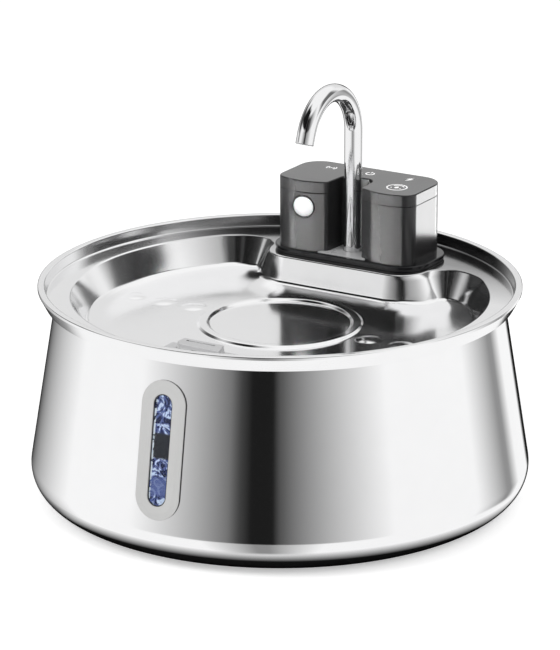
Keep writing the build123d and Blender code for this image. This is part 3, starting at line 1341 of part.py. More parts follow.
# Steel shaft, held at both ends
SHAFT_START = COVER_FACE + SOCKET_SHELL
SHAFT_END = (PUMP_RIGHT + WELL_END) / 2
with BuildPart() as pump_shaft:
    with BuildSketch(Plane.YZ.offset(SHAFT_START)):
        with Locations(PUMP_AXIS):
            Circle(SHAFT_DIAMETER / 2)
    extrude(amount=SHAFT_END - SHAFT_START)
export(pump_shaft.part, "pump_shaft")

# Impeller: blades on a disc, with a hub that carries the rotor magnet
BLADE_START = PUMP_LEFT + IMPELLER_SIDE_GAP
DISC_END = CHAMBER_RIGHT - IMPELLER_SIDE_GAP
DISC_START = DISC_END - IMPELLER_DISC
with BuildPart() as impeller:
    with BuildSketch(Plane.YZ.offset(DISC_START)):
        with Locations(PUMP_AXIS):
            Circle(IMPELLER_DIAMETER / 2)
    extrude(amount=IMPELLER_DISC)
    with BuildSketch(Plane.YZ.offset(BLADE_START)):
        with Locations(PUMP_AXIS):
            for blade in range(BLADE_COUNT):
                Rectangle(
                    IMPELLER_DIAMETER / 2 - BLADE_WIDTH,
                    BLADE_WIDTH,
                    rotation=blade * 360 / BLADE_COUNT,
                    align=(Align.MIN, Align.CENTER),
                )
    extrude(amount=DISC_START - BLADE_START)
    with BuildSketch(Plane.YZ.offset(BLADE_START)):
        with Locations(PUMP_AXIS):
            Circle(HUB_DIAMETER / 2)
    extrude(amount=ROTOR_END - BLADE_START)
    with BuildSketch(Plane.YZ.offset(BLADE_START)):
        with Locations(PUMP_AXIS):
            Circle(SHAFT_DIAMETER / 2 + RUNNING_GAP)
    extrude(amount=ROTOR_END - BLADE_START, mode=Mode.SUBTRACT)
export(impeller.part, "impeller")

with BuildPart() as rotor_magnet:
    with BuildSketch(Plane.YZ.offset(ROTOR_START)):
        with Locations(PUMP_AXIS):
            Circle(ROTOR_DIAMETER / 2)
            Circle(HUB_DIAMETER / 2 + RUNNING_GAP, mode=Mode.SUBTRACT)
    extrude(amount=ROTOR_END - ROTOR_START)
export(rotor_magnet.part, "rotor_magnet")

# Sponge in front of the intake
SPONGE_LEFT = -TOWER_HALF + TOWER_WALL + HOOK_THICKNESS + 2 * SPONGE_GAP
SPONGE_RIGHT = COVER_FACE - SCREW_HEAD_HEIGHT - SPONGE_GAP
with BuildPart() as intake_sponge:
    with BuildSketch(Plane.YZ.offset(SPONGE_LEFT)):
        with Locations((TOWER_Y, PUMP_MIDDLE_Z + SPONGE_GAP / 2)):
            Rectangle(
                TOWER_DEPTH - 2 * TOWER_WALL - 2 * SPONGE_GAP, PUMP_HEIGHT - SPONGE_GAP
            )
    extrude(amount=SPONGE_RIGHT - SPONGE_LEFT)
export(intake_sponge.part, "intake_sponge")

# =============================================================== faucet ====

with BuildPart() as faucet_tube:
    with BuildLine(Plane.YZ):
        Line((TUBE_Y, TUBE_BOTTOM), (TUBE_Y, NECK_SPRING))
        CenterArc((TUBE_Y - NECK_RADIUS, NECK_SPRING), NECK_RADIUS, 0, 180 - NECK_TILT)
        Line(
            (
                TUBE_Y - NECK_RADIUS - NECK_RADIUS * cos(radians(NECK_TILT)),
                NECK_SPRING + NECK_RADIUS * sin(radians(NECK_TILT)),
            ),
            (
                TUBE_Y
                - NECK_RADIUS * (1 + cos(radians(NECK_TILT)))
                - SPOUT_STRAIGHT * sin(radians(NECK_TILT)),
                NECK_SPRING
                + NECK_RADIUS * sin(radians(NECK_TILT))
                - SPOUT_STRAIGHT * cos(radians(NECK_TILT)),
            ),
        )
    with BuildSketch(Plane.XY.offset(TUBE_BOTTOM)):
        with Locations((0, TUBE_Y)):
            Circle(TUBE_DIAMETER / 2)
            Circle(TUBE_DIAMETER / 2 - TUBE_WALL, mode=Mode.SUBTRACT)
    sweep()
export(faucet_tube.part, "faucet_tube")
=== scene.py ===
"""Visual model of a pet water fountain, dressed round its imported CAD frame.

Sizes are written in millimetres and become metres when a mesh is made. The
origin lies under the tank's centre on the floor, +Z is up, the front faces -Y.
"""

from __future__ import annotations

import json
import logging
import math
from dataclasses import dataclass, field, replace
from enum import Enum
from typing import Callable, Optional, Sequence, Union

import bpy
import numpy as np
from mathutils import Matrix, Vector
from mathutils.geometry import delaunay_2d_cdt
from mathutils.kdtree import KDTree


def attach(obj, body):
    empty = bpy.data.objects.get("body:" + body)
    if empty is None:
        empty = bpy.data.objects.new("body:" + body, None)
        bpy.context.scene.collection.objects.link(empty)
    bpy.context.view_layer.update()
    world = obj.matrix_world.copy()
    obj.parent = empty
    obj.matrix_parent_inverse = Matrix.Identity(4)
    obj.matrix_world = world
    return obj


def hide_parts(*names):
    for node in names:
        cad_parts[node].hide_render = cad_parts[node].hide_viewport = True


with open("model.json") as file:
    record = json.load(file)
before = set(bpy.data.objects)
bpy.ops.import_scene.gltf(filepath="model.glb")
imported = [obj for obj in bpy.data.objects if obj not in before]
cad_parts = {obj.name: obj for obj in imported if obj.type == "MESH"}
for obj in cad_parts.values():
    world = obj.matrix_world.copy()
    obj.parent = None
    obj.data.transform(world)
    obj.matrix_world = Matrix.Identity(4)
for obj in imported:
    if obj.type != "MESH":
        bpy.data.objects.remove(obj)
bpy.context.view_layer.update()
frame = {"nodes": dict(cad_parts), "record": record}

LOG = logging.getLogger("fountain")
MM = 0.001
FULL_TURN = 2 * math.pi
SAME_POINT = 4  # decimals of a millimetre at which two points are one

Vec2 = tuple[float, float]
Vec3 = tuple[float, float, float]
Line = Sequence[Vec2]
Corners = Sequence[tuple[float, ...]]  # x, y and, where it is rounded, the radius
Spot = tuple[Vec3, Vec3]  # a point and its normal
Placer = Callable[[float, float], Spot]
Test = Callable[[float, float], bool]
Socket = bpy.types.NodeSocket
Feed = Union[Socket, float]
Nodes = bpy.types.NodeTree
Piece = bpy.types.Object
UP: Vec3 = (0.0, 0.0, 1.0)
DOWN: Vec3 = (0.0, 0.0, -1.0)
MIX_SOCKETS = (0, 6, 7)  # a colour mix node's factor and its two colours
MIXED_COLOR = 2


# ------------------------------------------------------------- drawing ----


@dataclass(frozen=True)
class Span:
    """One short run of a drawn line, with the surface normals at its ends."""

    start: Vec2
    end: Vec2
    start_normal: Vec2
    end_normal: Vec2


class Trace:
    """A drawn line of straight runs and arcs. Its normals point to the right."""

    def __init__(
        self,
        corners: Corners,
        closed: bool = False,
        step: float = 8.0,
    ) -> None:
        """Draws the line.

        Args:
            corners: points (x, y) or (x, y, radius of the rounded corner).
            closed: whether the last point joins the first.
            step: largest angle of one piece of an arc, in degrees.
        """
        self.closed = closed
        self.nodes: list[tuple[Vec2, Vec2, Vec2]] = []
        count = len(corners)
        for i, corner in enumerate(corners):
            here = Vector(corner[:2])
            radius = corner[2] if len(corner) > 2 else 0.0
            into = out = None
            if closed or i > 0:
                into = (here - Vector(corners[i - 1][:2])).normalized()
            if closed or i < count - 1:
                out = (Vector(corners[(i + 1) % count][:2]) - here).normalized()
            self._corner(here, into or out, out or into, radius, step)

    def _corner(
        self, here: Vector, into: Vector, out: Vector, radius: float, step: float
    ) -> None:
        """Adds one corner, sharp or rounded, to the nodes.

        Args:
            here: the sharp corner.
            into: direction of the run before it.
            out: direction of the run after it.
            radius: of the rounding, or 0.
            step: largest angle of one piece of the arc, in degrees.
        """
        turn = math.atan2(into.x * out.y - into.y * out.x, into.dot(out))
        first = Vector((into.y, -into.x))
        last = Vector((out.y, -out.x))
        if radius <= 0 or abs(turn) < math.radians(0.05):
            self.nodes.append((tuple(here), tuple(first), tuple(last)))
            return
        start = here - into * radius * math.tan(abs(turn) / 2)
        side = math.copysign(1.0, turn)
        centre = start - first * radius * side
        pieces = max(2, math.ceil(abs(math.degrees(turn)) / step))
        for k in range(pieces + 1):
            normal = first.copy()
            normal.rotate(Matrix.Rotation(turn * k / pieces, 2))
            point = centre + normal * radius * side
            self.nodes.append((tuple(point), tuple(normal), tuple(normal)))

    @property
    def spans(self) -> list[Span]:
        """The line's runs in order.

        Returns:
            One span for each run.
        """
        pairs = list(zip(self.nodes, self.nodes[1:]))
        if self.closed:
            pairs.append((self.nodes[-1], self.nodes[0]))
        return [Span(a[0], b[0], a[2], b[1]) for a, b in pairs]

    def walk(self, pitch: float) -> list[tuple[Vec2, Vec2]]:
        """Points at an even pitch along the line.

        Args:
            pitch: largest distance between two points, in millimetres.

        Returns:
            Pairs of a point and its unit normal.
        """
        steps: list[tuple[Vec2, Vec2]] = []
        for span in self.spans:
            a, b = Vector(span.start), Vector(span.end)
            cuts = max(1, math.ceil((b - a).length / pitch))
            for k in range(cuts):
                share = k / cuts
                normal = Vector(span.start_normal).lerp(Vector(span.end_normal), share)
                steps.append((tuple(a.lerp(b, share)), tuple(normal.normalized())))
        if not self.closed:
            steps.append((self.spans[-1].end, self.spans[-1].end_normal))
        return steps


@dataclass(frozen=True)
class Plan:
    """The line that a section is carried round, with its outward normals."""

    stations: tuple[tuple[Vec2, Vec2], ...]

    @classmethod
    def circle(cls, count: int) -> "Plan":
        """A plan for turned pieces: the section's x is the radius itself."""
        turns = (FULL_TURN * k / count for k in range(count))
        return cls(tuple(((0.0, 0.0), (math.cos(a), math.sin(a))) for a in turns))

    @classmethod
    def outline(cls, trace: Trace, pitch: float = 3.0) -> "Plan":
        """A plan that follows a closed line drawn anticlockwise."""
        return cls(tuple(trace.walk(pitch)))

    def grown(self, amount: float) -> list[Vec2]:
        """The plan's points, moved outward."""
        return [(p[0] + n[0] * amount, p[1] + n[1] * amount) for p, n in self.stations]


def round_box(half_x: float, low_y: float, high_y: float, radius: float) -> Trace:
    """A rounded rectangle about x = 0, drawn anticlockwise."""
    corners = ((-half_x, low_y), (half_x, low_y), (half_x, high_y), (-half_x, high_y))
    return Trace([(x, y, radius) for x, y in corners], closed=True)


def stadium(width: float, length: float, step: float = 5.0) -> Trace:
    """An upright slot outline about the origin, drawn anticlockwise."""
    x, y, r = width / 2, length / 2, width / 2 - 1e-3
    return Trace([(-x, -y, r), (x, -y, r), (x, y, r), (-x, y, r)], True, step)


def arc(x: float, y: float, radius: float, turns: Sequence[float]) -> list[Vec2]:
    """Points about a centre, at the given angles."""
    return [(x + radius * math.cos(a), y + radius * math.sin(a)) for a in turns]


def circle_line(x: float, y: float, radius: float, count: int = 40) -> list[Vec2]:
    """Points of a circle, drawn anticlockwise."""
    return arc(x, y, radius, [FULL_TURN * k / count for k in range(count)])


def raised(line: Line, level: float) -> list[Vec3]:
    """A flat line's points at a height."""
    return [(x, y, level) for x, y in line]


def flat(level: float, normal: Vec3) -> Placer:
    """Lays a drawing level at a height."""
    return lambda x, y: ((x, y, level), normal)


class Region:
    """The inside of a closed outline."""

    def __init__(self, loop: Line) -> None:
        """Keeps the outline and its box."""
        self.loop = list(loop)
        self.low = (min(p[0] for p in loop), min(p[1] for p in loop))
        self.high = (max(p[0] for p in loop), max(p[1] for p in loop))

    def holds(self, x: float, y: float) -> bool:
        """Whether a point is inside.

        Args:
            x: the point's x.
            y: the point's y.

        Returns:
            True if the outline goes round the point.
        """
        if not (self.low[0] < x < self.high[0] and self.low[1] < y < self.high[1]):
            return False
        inside = False
        for (ax, ay), (bx, by) in zip(self.loop, self.loop[1:] + self.loop[:1]):
            if (ay > y) != (by > y) and x < (bx - ax) * (y - ay) / (by - ay) + ax:
                inside = not inside
        return inside


def within(outline: Line, holes: Sequence[Line]) -> Test:
    """A test for the area that an outline encloses.

    Args:
        outline: its border.
        holes: closed lines whose insides don't belong.

    Returns:
        A function of x and y.
    """
    area = Region(outline)
    cuts = [Region(hole) for hole in holes]
    return lambda x, y: area.holds(x, y) and not any(gap.holds(x, y) for gap in cuts)


def add_object(name: str, data: bpy.types.ID) -> Piece:
    """A new object in the scene, with its mesh, lamp or camera."""
    piece = bpy.data.objects.new(name, data)
    bpy.context.scene.collection.objects.link(piece)
    return piece


class Skin:
    """Points in millimetres and faces that have a normal at each corner."""

    def __init__(self) -> None:
        """Starts empty."""
        self.points: list[Vec3] = []
        self.faces: list[tuple[int, ...]] = []
        self.normals: list[tuple[Vec3, ...]] = []
        self._known: dict[tuple[float, ...], int] = {}

    def add(self, point: Sequence[float]) -> int:
        """Adds a point, once however often it is named.

        Args:
            point: its place in millimetres.

        Returns:
            Its number.
        """
        key = tuple(round(c, SAME_POINT) + 0.0 for c in point)
        if key not in self._known:
            self._known[key] = len(self.points)
            self.points.append(tuple(point))
        return self._known[key]

    def face(self, corners: Sequence[int], normals: Sequence[Vec3]) -> None:
        """Adds a face, wound so that it faces the way its normals point.

        Args:
            corners: numbers of its points, in order.
            normals: the normal at each corner.
        """
        kept = [k for k, c in enumerate(corners) if c != corners[k - 1]]
        if len(kept) < 3:
            return
        ring = [Vector(self.points[corners[k]]) for k in kept]
        facing = Vector((0.0, 0.0, 0.0))
        for a, b in zip(ring, ring[1:] + ring[:1]):
            facing += (a - ring[0]).cross(b - ring[0])
        wanted = Vector((0.0, 0.0, 0.0))
        for k in kept:
            wanted += Vector(normals[k])
        if facing.dot(wanted) < 0:
            kept.reverse()
        self.faces.append(tuple(corners[k] for k in kept))
        self.normals.append(tuple(tuple(normals[k]) for k in kept))

    def sweep(
        self,
        plan: Plan,
        section: Trace,
        skip: Optional[Callable[[Span, int], bool]] = None,
    ) -> list[list[int]]:
        """Carries a section round a plan.

        Args:
            plan: where the section goes.
            section: x is the distance outward from the plan, y the height.
            skip: says which faces are left out, by run and station.

        Returns:
            One row of point numbers for each node of the section.
        """
        stations = plan.stations
        rows = [
            [self.add((p[0] + n[0] * out, p[1] + n[1] * out, high)) for p, n in stations]
            for (out, high), _, _ in section.nodes
        ]
        for i, span in enumerate(section.spans):
            low, top = rows[i], rows[(i + 1) % len(rows)]
            for j in range(len(stations)):
                if skip and skip(span, j):
                    continue
                k = (j + 1) % len(stations)
                ends = (
                    (j, span.start_normal),
                    (k, span.start_normal),
                    (k, span.end_normal),
                    (j, span.end_normal),
                )
                self.face(
                    (low[j], low[k], top[k], top[j]),
                    [
                        (stations[s][1][0] * m[0], stations[s][1][1] * m[0], m[1])
                        for s, m in ends
                    ],
                )
        return rows

    def cap(self, row: Sequence[int], normal: Vec3) -> None:
        """Closes a row of points with one flat face."""
        self.face(row, [normal] * len(row))

    def plate(
        self,
        loops: Sequence[Line],
        loose: Line,
        keep: Test,
        place: Placer,
    ) -> None:
        """Fills a flat drawing with triangles and lays them on a surface.

        Args:
            loops: closed lines that edges of the result follow.
            loose: further points inside.
            keep: says whether a triangle with this middle belongs.
            place: turns a drawn point into a point and a normal.
        """
        points: list[Vector] = []
        edges: list[tuple[int, int]] = []
        for loop in loops:
            base, count = len(points), len(loop)
            points += [Vector(p) for p in loop]
            edges += [(base + k, base + (k + 1) % count) for k in range(count)]
        points += [Vector(p) for p in loose]
        drawn, _, triangles, *_ = delaunay_2d_cdt(points, edges, [], 0, 1e-5)
        spots = [place(p.x, p.y) for p in drawn]
        numbers: dict[int, int] = {}
        for triangle in triangles:
            x = sum(drawn[v].x for v in triangle) / len(triangle)
            y = sum(drawn[v].y for v in triangle) / len(triangle)
            if not keep(x, y):
                continue
            for v in triangle:
                if v not in numbers:
                    numbers[v] = self.add(spots[v][0])
            self.face([numbers[v] for v in triangle], [spots[v][1] for v in triangle])

    def slab(
        self, outline: Line, low: float, high: float, holes: Sequence[Line] = ()
    ) -> None:
        """A flat plate of any outline, closed all round.

        Args:
            outline: its border, drawn anticlockwise.
            low: height of its underside.
            high: height of its top.
            holes: further closed lines, drawn anticlockwise too.
        """
        inside = within(outline, holes)
        for level, normal in ((high, UP), (low, DOWN)):
            self.plate([outline, *holes], [], inside, flat(level, normal))
        for loop, side in ((outline, 1.0), *((hole, -1.0) for hole in holes)):
            normals = []
            for before, after in zip([loop[-1], *loop], [*loop[1:], loop[0]]):
                out = Vector((after[1] - before[1], before[0] - after[0])).normalized() * side
                normals.append((out.x, out.y, 0.0))
            self.bridge(raised(loop, high), raised(loop, low), normals)

    def bridge(
        self, first: Sequence[Vec3], second: Sequence[Vec3], normals: Sequence[Vec3]
    ) -> None:
        """Joins two closed rings that have the same count of points.

        Args:
            first: points of the one ring.
            second: points of the other.
            normals: the surface normal at each pair.
        """
        for j in range(len(first)):
            k = (j + 1) % len(first)
            ring = (first[j], first[k], second[k], second[j])
            facing = (normals[j], normals[k], normals[k], normals[j])
            self.face([self.add(p) for p in ring], facing)

    def build(self, name: str, place: Optional[Matrix] = None) -> Piece:
        """Makes the Blender object.

        Args:
            name: the piece's name.
            place: moves the drawing to its place, in millimetres.

        Returns:
            The linked object, with its place in its mesh.
        """
        mesh = bpy.data.meshes.new(name)
        turn = place.to_3x3() if place else Matrix.Identity(3)
        move = place.translation if place else Vector((0.0, 0.0, 0.0))
        spots = [(turn @ Vector(p) + move) * MM for p in self.points]
        mesh.from_pydata(spots, [], self.faces)
        mesh.shade_smooth()
        mesh.normals_split_custom_set(
            [tuple((turn @ Vector(n)).normalized()) for face in self.normals for n in face]
        )
        mesh.update()
        piece = add_object(name, mesh)
        LOG.info("%s: %d points, %d faces", name, len(self.points), len(self.faces))
        return piece


# ------------------------------------------------------ surface effects ----


class Wires:
    """Adds nodes to a shader tree and joins them."""

    def __init__(self, tree: Nodes) -> None:
        """Keeps the tree that the nodes go into."""
        self.tree = tree

    def feed(self, value: Feed | Sequence[float], socket: Socket) -> None:
        """Links an output to an input, or writes a plain value on the input.

        Args:
            value: the output or the plain value.
            socket: the input.
        """
        if isinstance(value, Socket):
            self.tree.links.new(value, socket)
        else:
            socket.default_value = value

    def fill(self, node: bpy.types.Node, **values: Feed | Sequence[float]) -> bpy.types.Node:
        """Feeds a node's inputs.

        Args:
            node: the node.
            values: outputs or plain values, named as its inputs are with _ for a blank.

        Returns:
            The same node.
        """
        for key, value in values.items():
            self.feed(value, node.inputs[key.replace("_", " ")])
        return node

    def node(self, kind: str, **values: Feed | Sequence[float]) -> bpy.types.Node:
        """A new node of a kind, such as Math, with its inputs fed."""
        return self.fill(self.tree.nodes.new("ShaderNode" + kind), **values)

    def math(self, operation: str, *values: Feed) -> Socket:
        """A math node.

        Args:
            operation: what it does, such as ADD.
            values: outputs or plain values, in the order of its inputs.

        Returns:
            Its result.
        """
        node = self.node("Math")
        node.operation = operation
        for socket, value in zip(node.inputs, values):
            self.feed(value, socket)
        return node.outputs[0]

    def times(self, first: Feed, second: Feed) -> Socket:
        """The product of two values."""
        return self.math("MULTIPLY", first, second)

    def clamp(self, value: Feed) -> Socket:
        """The value, kept between 0 and 1."""
        return self.node("Clamp", Value=value).outputs[0]

    def ramp(
        self, value: Feed, start: float, end: float, low: float = 0.0, high: float = 1.0
    ) -> Socket:
        """Turns one range of values into another.

        Args:
            value: what is turned.
            start: the value that becomes low.
            end: the value that becomes high.
            low: the result at the start and before it.
            high: the result at the end and past it.

        Returns:
            The result.
        """
        bounds = {"From_Min": start, "From_Max": end, "To_Min": low, "To_Max": high}
        return self.node("MapRange", Value=value, **bounds).outputs[0]

    def place(self, output: str = "Object") -> Socket:
        """Coordinates of the shaded point."""
        return self.node("TexCoord").outputs[output]

    def axes(self, output: str = "Object") -> Sequence[Socket]:
        """The shaded point's X, Y and Z."""
        return self.node("SeparateXYZ", Vector=self.place(output)).outputs

    def noise(self, vector: Socket, scale: Feed, detail: float, twist: Feed = 0.0) -> Socket:
        """The value of a noise texture."""
        feeds = {"Vector": vector, "Scale": scale, "Detail": detail, "Distortion": twist}
        return self.node("TexNoise", **feeds).outputs["Fac"]


class Effect(Enum):
    """Shared shader groups, by their names."""

    TURNED = "turned_lines"
    SMUDGE = "smudges"
    SPECKLE = "speckle"
    RIPPLE = "water_ripple"
    BAND = "soft_band"
    MOULD = "moulded_grain"


class Group(Wires):
    """A shared shader group under construction."""

    def __init__(self, effect: Effect, outputs: Sequence[str], **inputs: float) -> None:
        """Starts a group.

        Args:
            effect: which group it is.
            outputs: names of its outputs.
            inputs: names of its inputs, with their first values.
        """
        super().__init__(bpy.data.node_groups.new(effect.value, "ShaderNodeTree"))
        for key, value in inputs.items():
            self._socket(key, "INPUT").default_value = value
        for key in outputs:
            self._socket(key, "OUTPUT")
        self.start = self.tree.nodes.new("NodeGroupInput")
        self.end = self.tree.nodes.new("NodeGroupOutput")

    def _socket(self, key: str, way: str) -> bpy.types.NodeTreeInterfaceSocket:
        """A new number socket of the group."""
        return self.tree.interface.new_socket(key, in_out=way, socket_type="NodeSocketFloat")

    def given(self, key: str) -> Socket:
        """One of the group's inputs, as its nodes see it."""
        return self.start.outputs[key]

    def put_out(self, key: str, value: Socket) -> None:
        """Feeds one of the group's outputs."""
        self.feed(value, self.end.inputs[key])


class Effects:
    """Builds each shared node group once."""

    def __init__(self) -> None:
        """Builds every group."""
        self.groups: dict[Effect, Nodes] = {}
        self._turned()
        self._smudge()
        self._speckle()
        self._ripple()
        self._band()
        self._mould()

    def _start(self, effect: Effect, outputs: Sequence[str], **inputs: float) -> Group:
        """Starts a group and keeps it, with the arguments of Group."""
        group = Group(effect, outputs, **inputs)
        self.groups[effect] = group.tree
        return group

    def _turned(self) -> None:
        """Very fine lines round the Z axis, as polishing on a lathe leaves them."""
        group = self._start(Effect.TURNED, ["Height"], Pitch=2600.0, Length=6.0)
        x, y, z = group.axes()
        radius = group.math("SQRT", group.math("ADD", group.times(x, x), group.times(y, y)))
        along = group.math("ADD", radius, group.times(z, 1.37))
        angle = group.math("ARCTAN2", y, x)
        grid = group.node(
            "CombineXYZ",
            X=group.times(along, group.given("Pitch")),
            Y=group.times(angle, group.given("Length")),
        )
        group.put_out("Height", group.noise(grid.outputs[0], 1.0, 3.0))

    def _smudge(self) -> None:
        """Soft wiped patches and drops, for roughness."""
        group = self._start(Effect.SMUDGE, ["Mask"], Scale=14.0, Contrast=2.0)
        place, scale = group.place(), group.given("Scale")
        large = group.noise(place, scale, 5.0)
        fine = group.noise(place, group.times(scale, 7.3), 3.0)
        both = group.math("ADD", group.times(large, 0.7), group.times(fine, 0.3))
        spread = group.times(group.math("SUBTRACT", both, 0.5), group.given("Contrast"))
        group.put_out("Mask", group.clamp(group.math("ADD", spread, 0.5)))

    def _speckle(self) -> None:
        """Small separate spots, such as granules and open foam cells."""
        group = self._start(Effect.SPECKLE, ["Mask", "Height"], Scale=900.0, Size=0.35)
        cells = group.node("TexVoronoi", Vector=group.place(), Scale=group.given("Scale"))
        depth = cells.outputs["Distance"]
        group.put_out("Mask", group.math("LESS_THAN", depth, group.given("Size")))
        group.put_out("Height", depth)

    def _ripple(self) -> None:
        """A mask of broken lights with sharp borders, as moving water throws them, painted as
        highlights, and its height.
        """
        group = self._start(Effect.RIPPLE, ["Mask", "Height"], Scale=150.0, Twist=2.2)
        waves = group.noise(group.place(), group.given("Scale"), 2.5, group.given("Twist"))
        group.put_out("Mask", group.clamp(group.math("MULTIPLY_ADD", waves, 3.0, -1.0)))
        group.put_out("Height", waves)

    def _band(self) -> None:
        """One where a value lies between two others, with soft ends."""
        group = self._start(Effect.BAND, ["Mask"], Value=0.0, Low=0.0, High=1.0, Soft=0.1)
        value, low, high, soft = map(group.given, ("Value", "Low", "High", "Soft"))
        rise = group.math("DIVIDE", group.math("SUBTRACT", value, low), soft)
        fall = group.math("DIVIDE", group.math("SUBTRACT", high, value), soft)
        group.put_out("Mask", group.times(group.clamp(rise), group.clamp(fall)))

    def _mould(self) -> None:
        """The fine grain of a moulded plastic or rubber face."""
        group = self._start(Effect.MOULD, ["Height"], Scale=1800.0)
        group.put_out("Height", group.noise(group.place(), group.given("Scale"), 2.0))


class Paint(Wires):
    """A material under construction: a Principled shader and its feeds."""

    def __init__(self, name: str, effects: Effects) -> None:
        """Starts a material.

        Args:
            name: the material's name.
            effects: the shared groups.
        """
        self.effects = effects
        self.material = bpy.data.materials.new(name)
        self.material.use_nodes = True
        super().__init__(self.material.node_tree)

    def apply(self, **values: Feed | Sequence[float]) -> None:
        """Feeds the shader, its inputs named as for Wires.fill."""
        self.fill(self.tree.nodes["Principled BSDF"], **values)

    def effect(self, effect: Effect, **values: Feed) -> bpy.types.Node:
        """Places a shared group with this material's own values.

        Args:
            effect: which group it is.
            values: what its inputs are fed.

        Returns:
            The node.
        """
        node = self.node("Group")
        node.node_tree = self.effects.groups[effect]
        return self.fill(node, **values)

    def smudged(self, scale: float, roughness: Vec2) -> Socket:
        """Roughens the surface in wiped patches.

        Args:
            scale: how fine the patches are.
            roughness: the roughness between them and in them.

        Returns:
            The patches' mask.
        """
        mask = self.effect(Effect.SMUDGE, Scale=scale).outputs["Mask"]
        self.apply(Roughness=self.ramp(mask, 0.0, 1.0, *roughness))
        return mask

    def blend(
        self,
        mask: Socket,
        low: Socket | Vec3,
        high: Socket | Vec3,
    ) -> Socket:
        """Mixes two colours by a mask.

        Args:
            mask: the mask.
            low: the colour where the mask is 0.
            high: the colour where the mask is 1.

        Returns:
            The mixed colour.
        """
        node = self.node("Mix")
        node.data_type = "RGBA"
        factor, first, second = (node.inputs[k] for k in MIX_SOCKETS)
        self.feed(mask, factor)
        for color, socket in ((low, first), (high, second)):
            plain = not isinstance(color, Socket)
            self.feed((*color, 1.0) if plain else color, socket)
        return node.outputs[MIXED_COLOR]

    def band(self, axis: int, low: float, high: float, soft: float) -> Socket:
        """A mask between two places along an axis.

        Args:
            axis: 0, 1 or 2 for X, Y or Z.
            low: where it starts, in millimetres.
            high: where it ends.
            soft: how far it takes to rise and fall.

        Returns:
            The mask.
        """
        spot = self.axes()[axis]
        node = self.effect(
            Effect.BAND, Value=spot, Low=low * MM, High=high * MM, Soft=soft * MM
        )
        return node.outputs["Mask"]

    def bump(self, height: Socket, strength: float, depth: float) -> None:
        """Feeds a relief into the normal.

        Args:
            height: the relief.
            strength: from 0 to 1.
            depth: how deep it is, in millimetres.
        """
        node = self.node("Bump", Height=height, Strength=strength, Distance=depth * MM)
        self.apply(Normal=node.outputs[0])


# ------------------------------------------------------------- finishes ----


@dataclass(frozen=True)
class Finish:
    """A surface finish that a material is made from."""

    def paint(self, name: str, effects: Effects) -> bpy.types.Material:
        """Makes the material.

        Args:
            name: the material's name.
            effects: the shared groups.

        Returns:
            The finished material.
        """
        paint = Paint(name, effects)
        self.lay(paint)
        return paint.material

    def lay(self, paint: Paint) -> None:
        """Feeds the shader; each kind of finish has its own way."""
        raise NotImplementedError


@dataclass(frozen=True)
class Metal(Finish):
    """A metal finish: sheet, plating, wire or cast magnet."""

    color: Vec3
    roughness: Vec2
    line_pitch: float = 2600.0
    line_strength: float = 0.0
    smudge_scale: float = 14.0
    line_depth: float = 0.02
    smudge_shade: float = 0.96

    def tone(self, paint: Paint, color: Socket) -> Socket:
        """The finished base colour, from the smudged one."""
        return color

    def lay(self, paint: Paint) -> None:
        """Feeds a metallic shader, smudged and with fine turned lines.

        Args:
            paint: the material under construction.
        """
        mask = paint.smudged(self.smudge_scale, self.roughness)
        darker = tuple(c * self.smudge_shade for c in self.color)
        color = self.tone(paint, paint.blend(mask, self.color, darker))
        paint.apply(Metallic=1.0, Base_Color=color)
        if self.line_strength > 0:
            lines = paint.effect(Effect.TURNED, Pitch=self.line_pitch)
            paint.bump(lines.outputs["Height"], self.line_strength, self.line_depth)


@dataclass(frozen=True)
class ShadedRimSteel(Metal):
    """Pressed steel with painted shade: darker where the rim folds down at the back."""

    shade: float = 0.3
    rim: Vec3 = (106.9, 113.5, 0.3)
    back: Vec3 = (38.0, 400.0, 50.0)

    def tone(self, paint: Paint, color: Socket) -> Socket:
        """The base colour, with painted shade over the rim's back."""
        # painted shade: the rim's inner wall and ledge are darkened toward the back
        painted_shade_zone = paint.times(paint.band(2, *self.rim), paint.band(1, *self.back))
        return paint.blend(painted_shade_zone, color, tuple(c * self.shade for c in self.color))


@dataclass(frozen=True)
class Plastic(Finish):
    """A moulded plastic or rubber finish."""

    color: Vec3
    roughness: Vec2
    grain: float = 0.0
    coat: float = 0.0
    soft: float = 0.0
    glow: float = 0.0
    grain_scale: float = 1800.0
    grain_depth: float = 0.05
    smudge_scale: float = 22.0

    def lay(self, paint: Paint) -> None:
        """Feeds a plastic shader, smudged and with a moulded grain.

        Args:
            paint: the material under construction.
        """
        mask = paint.smudged(self.smudge_scale, self.roughness)
        lighter = tuple(min(1.0, c * 1.08 + 0.002) for c in self.color)
        paint.apply(
            Base_Color=paint.blend(mask, self.color, lighter),
            Coat_Weight=self.coat,
            Coat_Roughness=0.04,
            Subsurface_Weight=self.soft,
            Subsurface_Scale=0.004,
            Emission_Color=(*self.color, 1.0),
            Emission_Strength=self.glow,
        )
        if self.grain > 0:
            grain = paint.effect(Effect.MOULD, Scale=self.grain_scale)
            paint.bump(grain.outputs["Height"], self.grain, self.grain_depth)


@dataclass(frozen=True)
class Porous(Finish):
    """Foam, a granule pouch or a sponge: cells that show as pits and spots."""

    color: Vec3
    spots: Vec3
    cell_scale: float
    depth: float
    cell_size: float = 0.32

    def lay(self, paint: Paint) -> None:
        """Feeds a rough shader with spots and pits.

        Args:
            paint: the material under construction.
        """
        cells = paint.effect(Effect.SPECKLE, Scale=self.cell_scale, Size=self.cell_size)
        color = paint.blend(cells.outputs["Mask"], self.color, self.spots)
        paint.apply(Roughness=0.92, Sheen_Weight=0.2, Base_Color=color)
        paint.bump(cells.outputs["Height"], 0.8, self.depth)


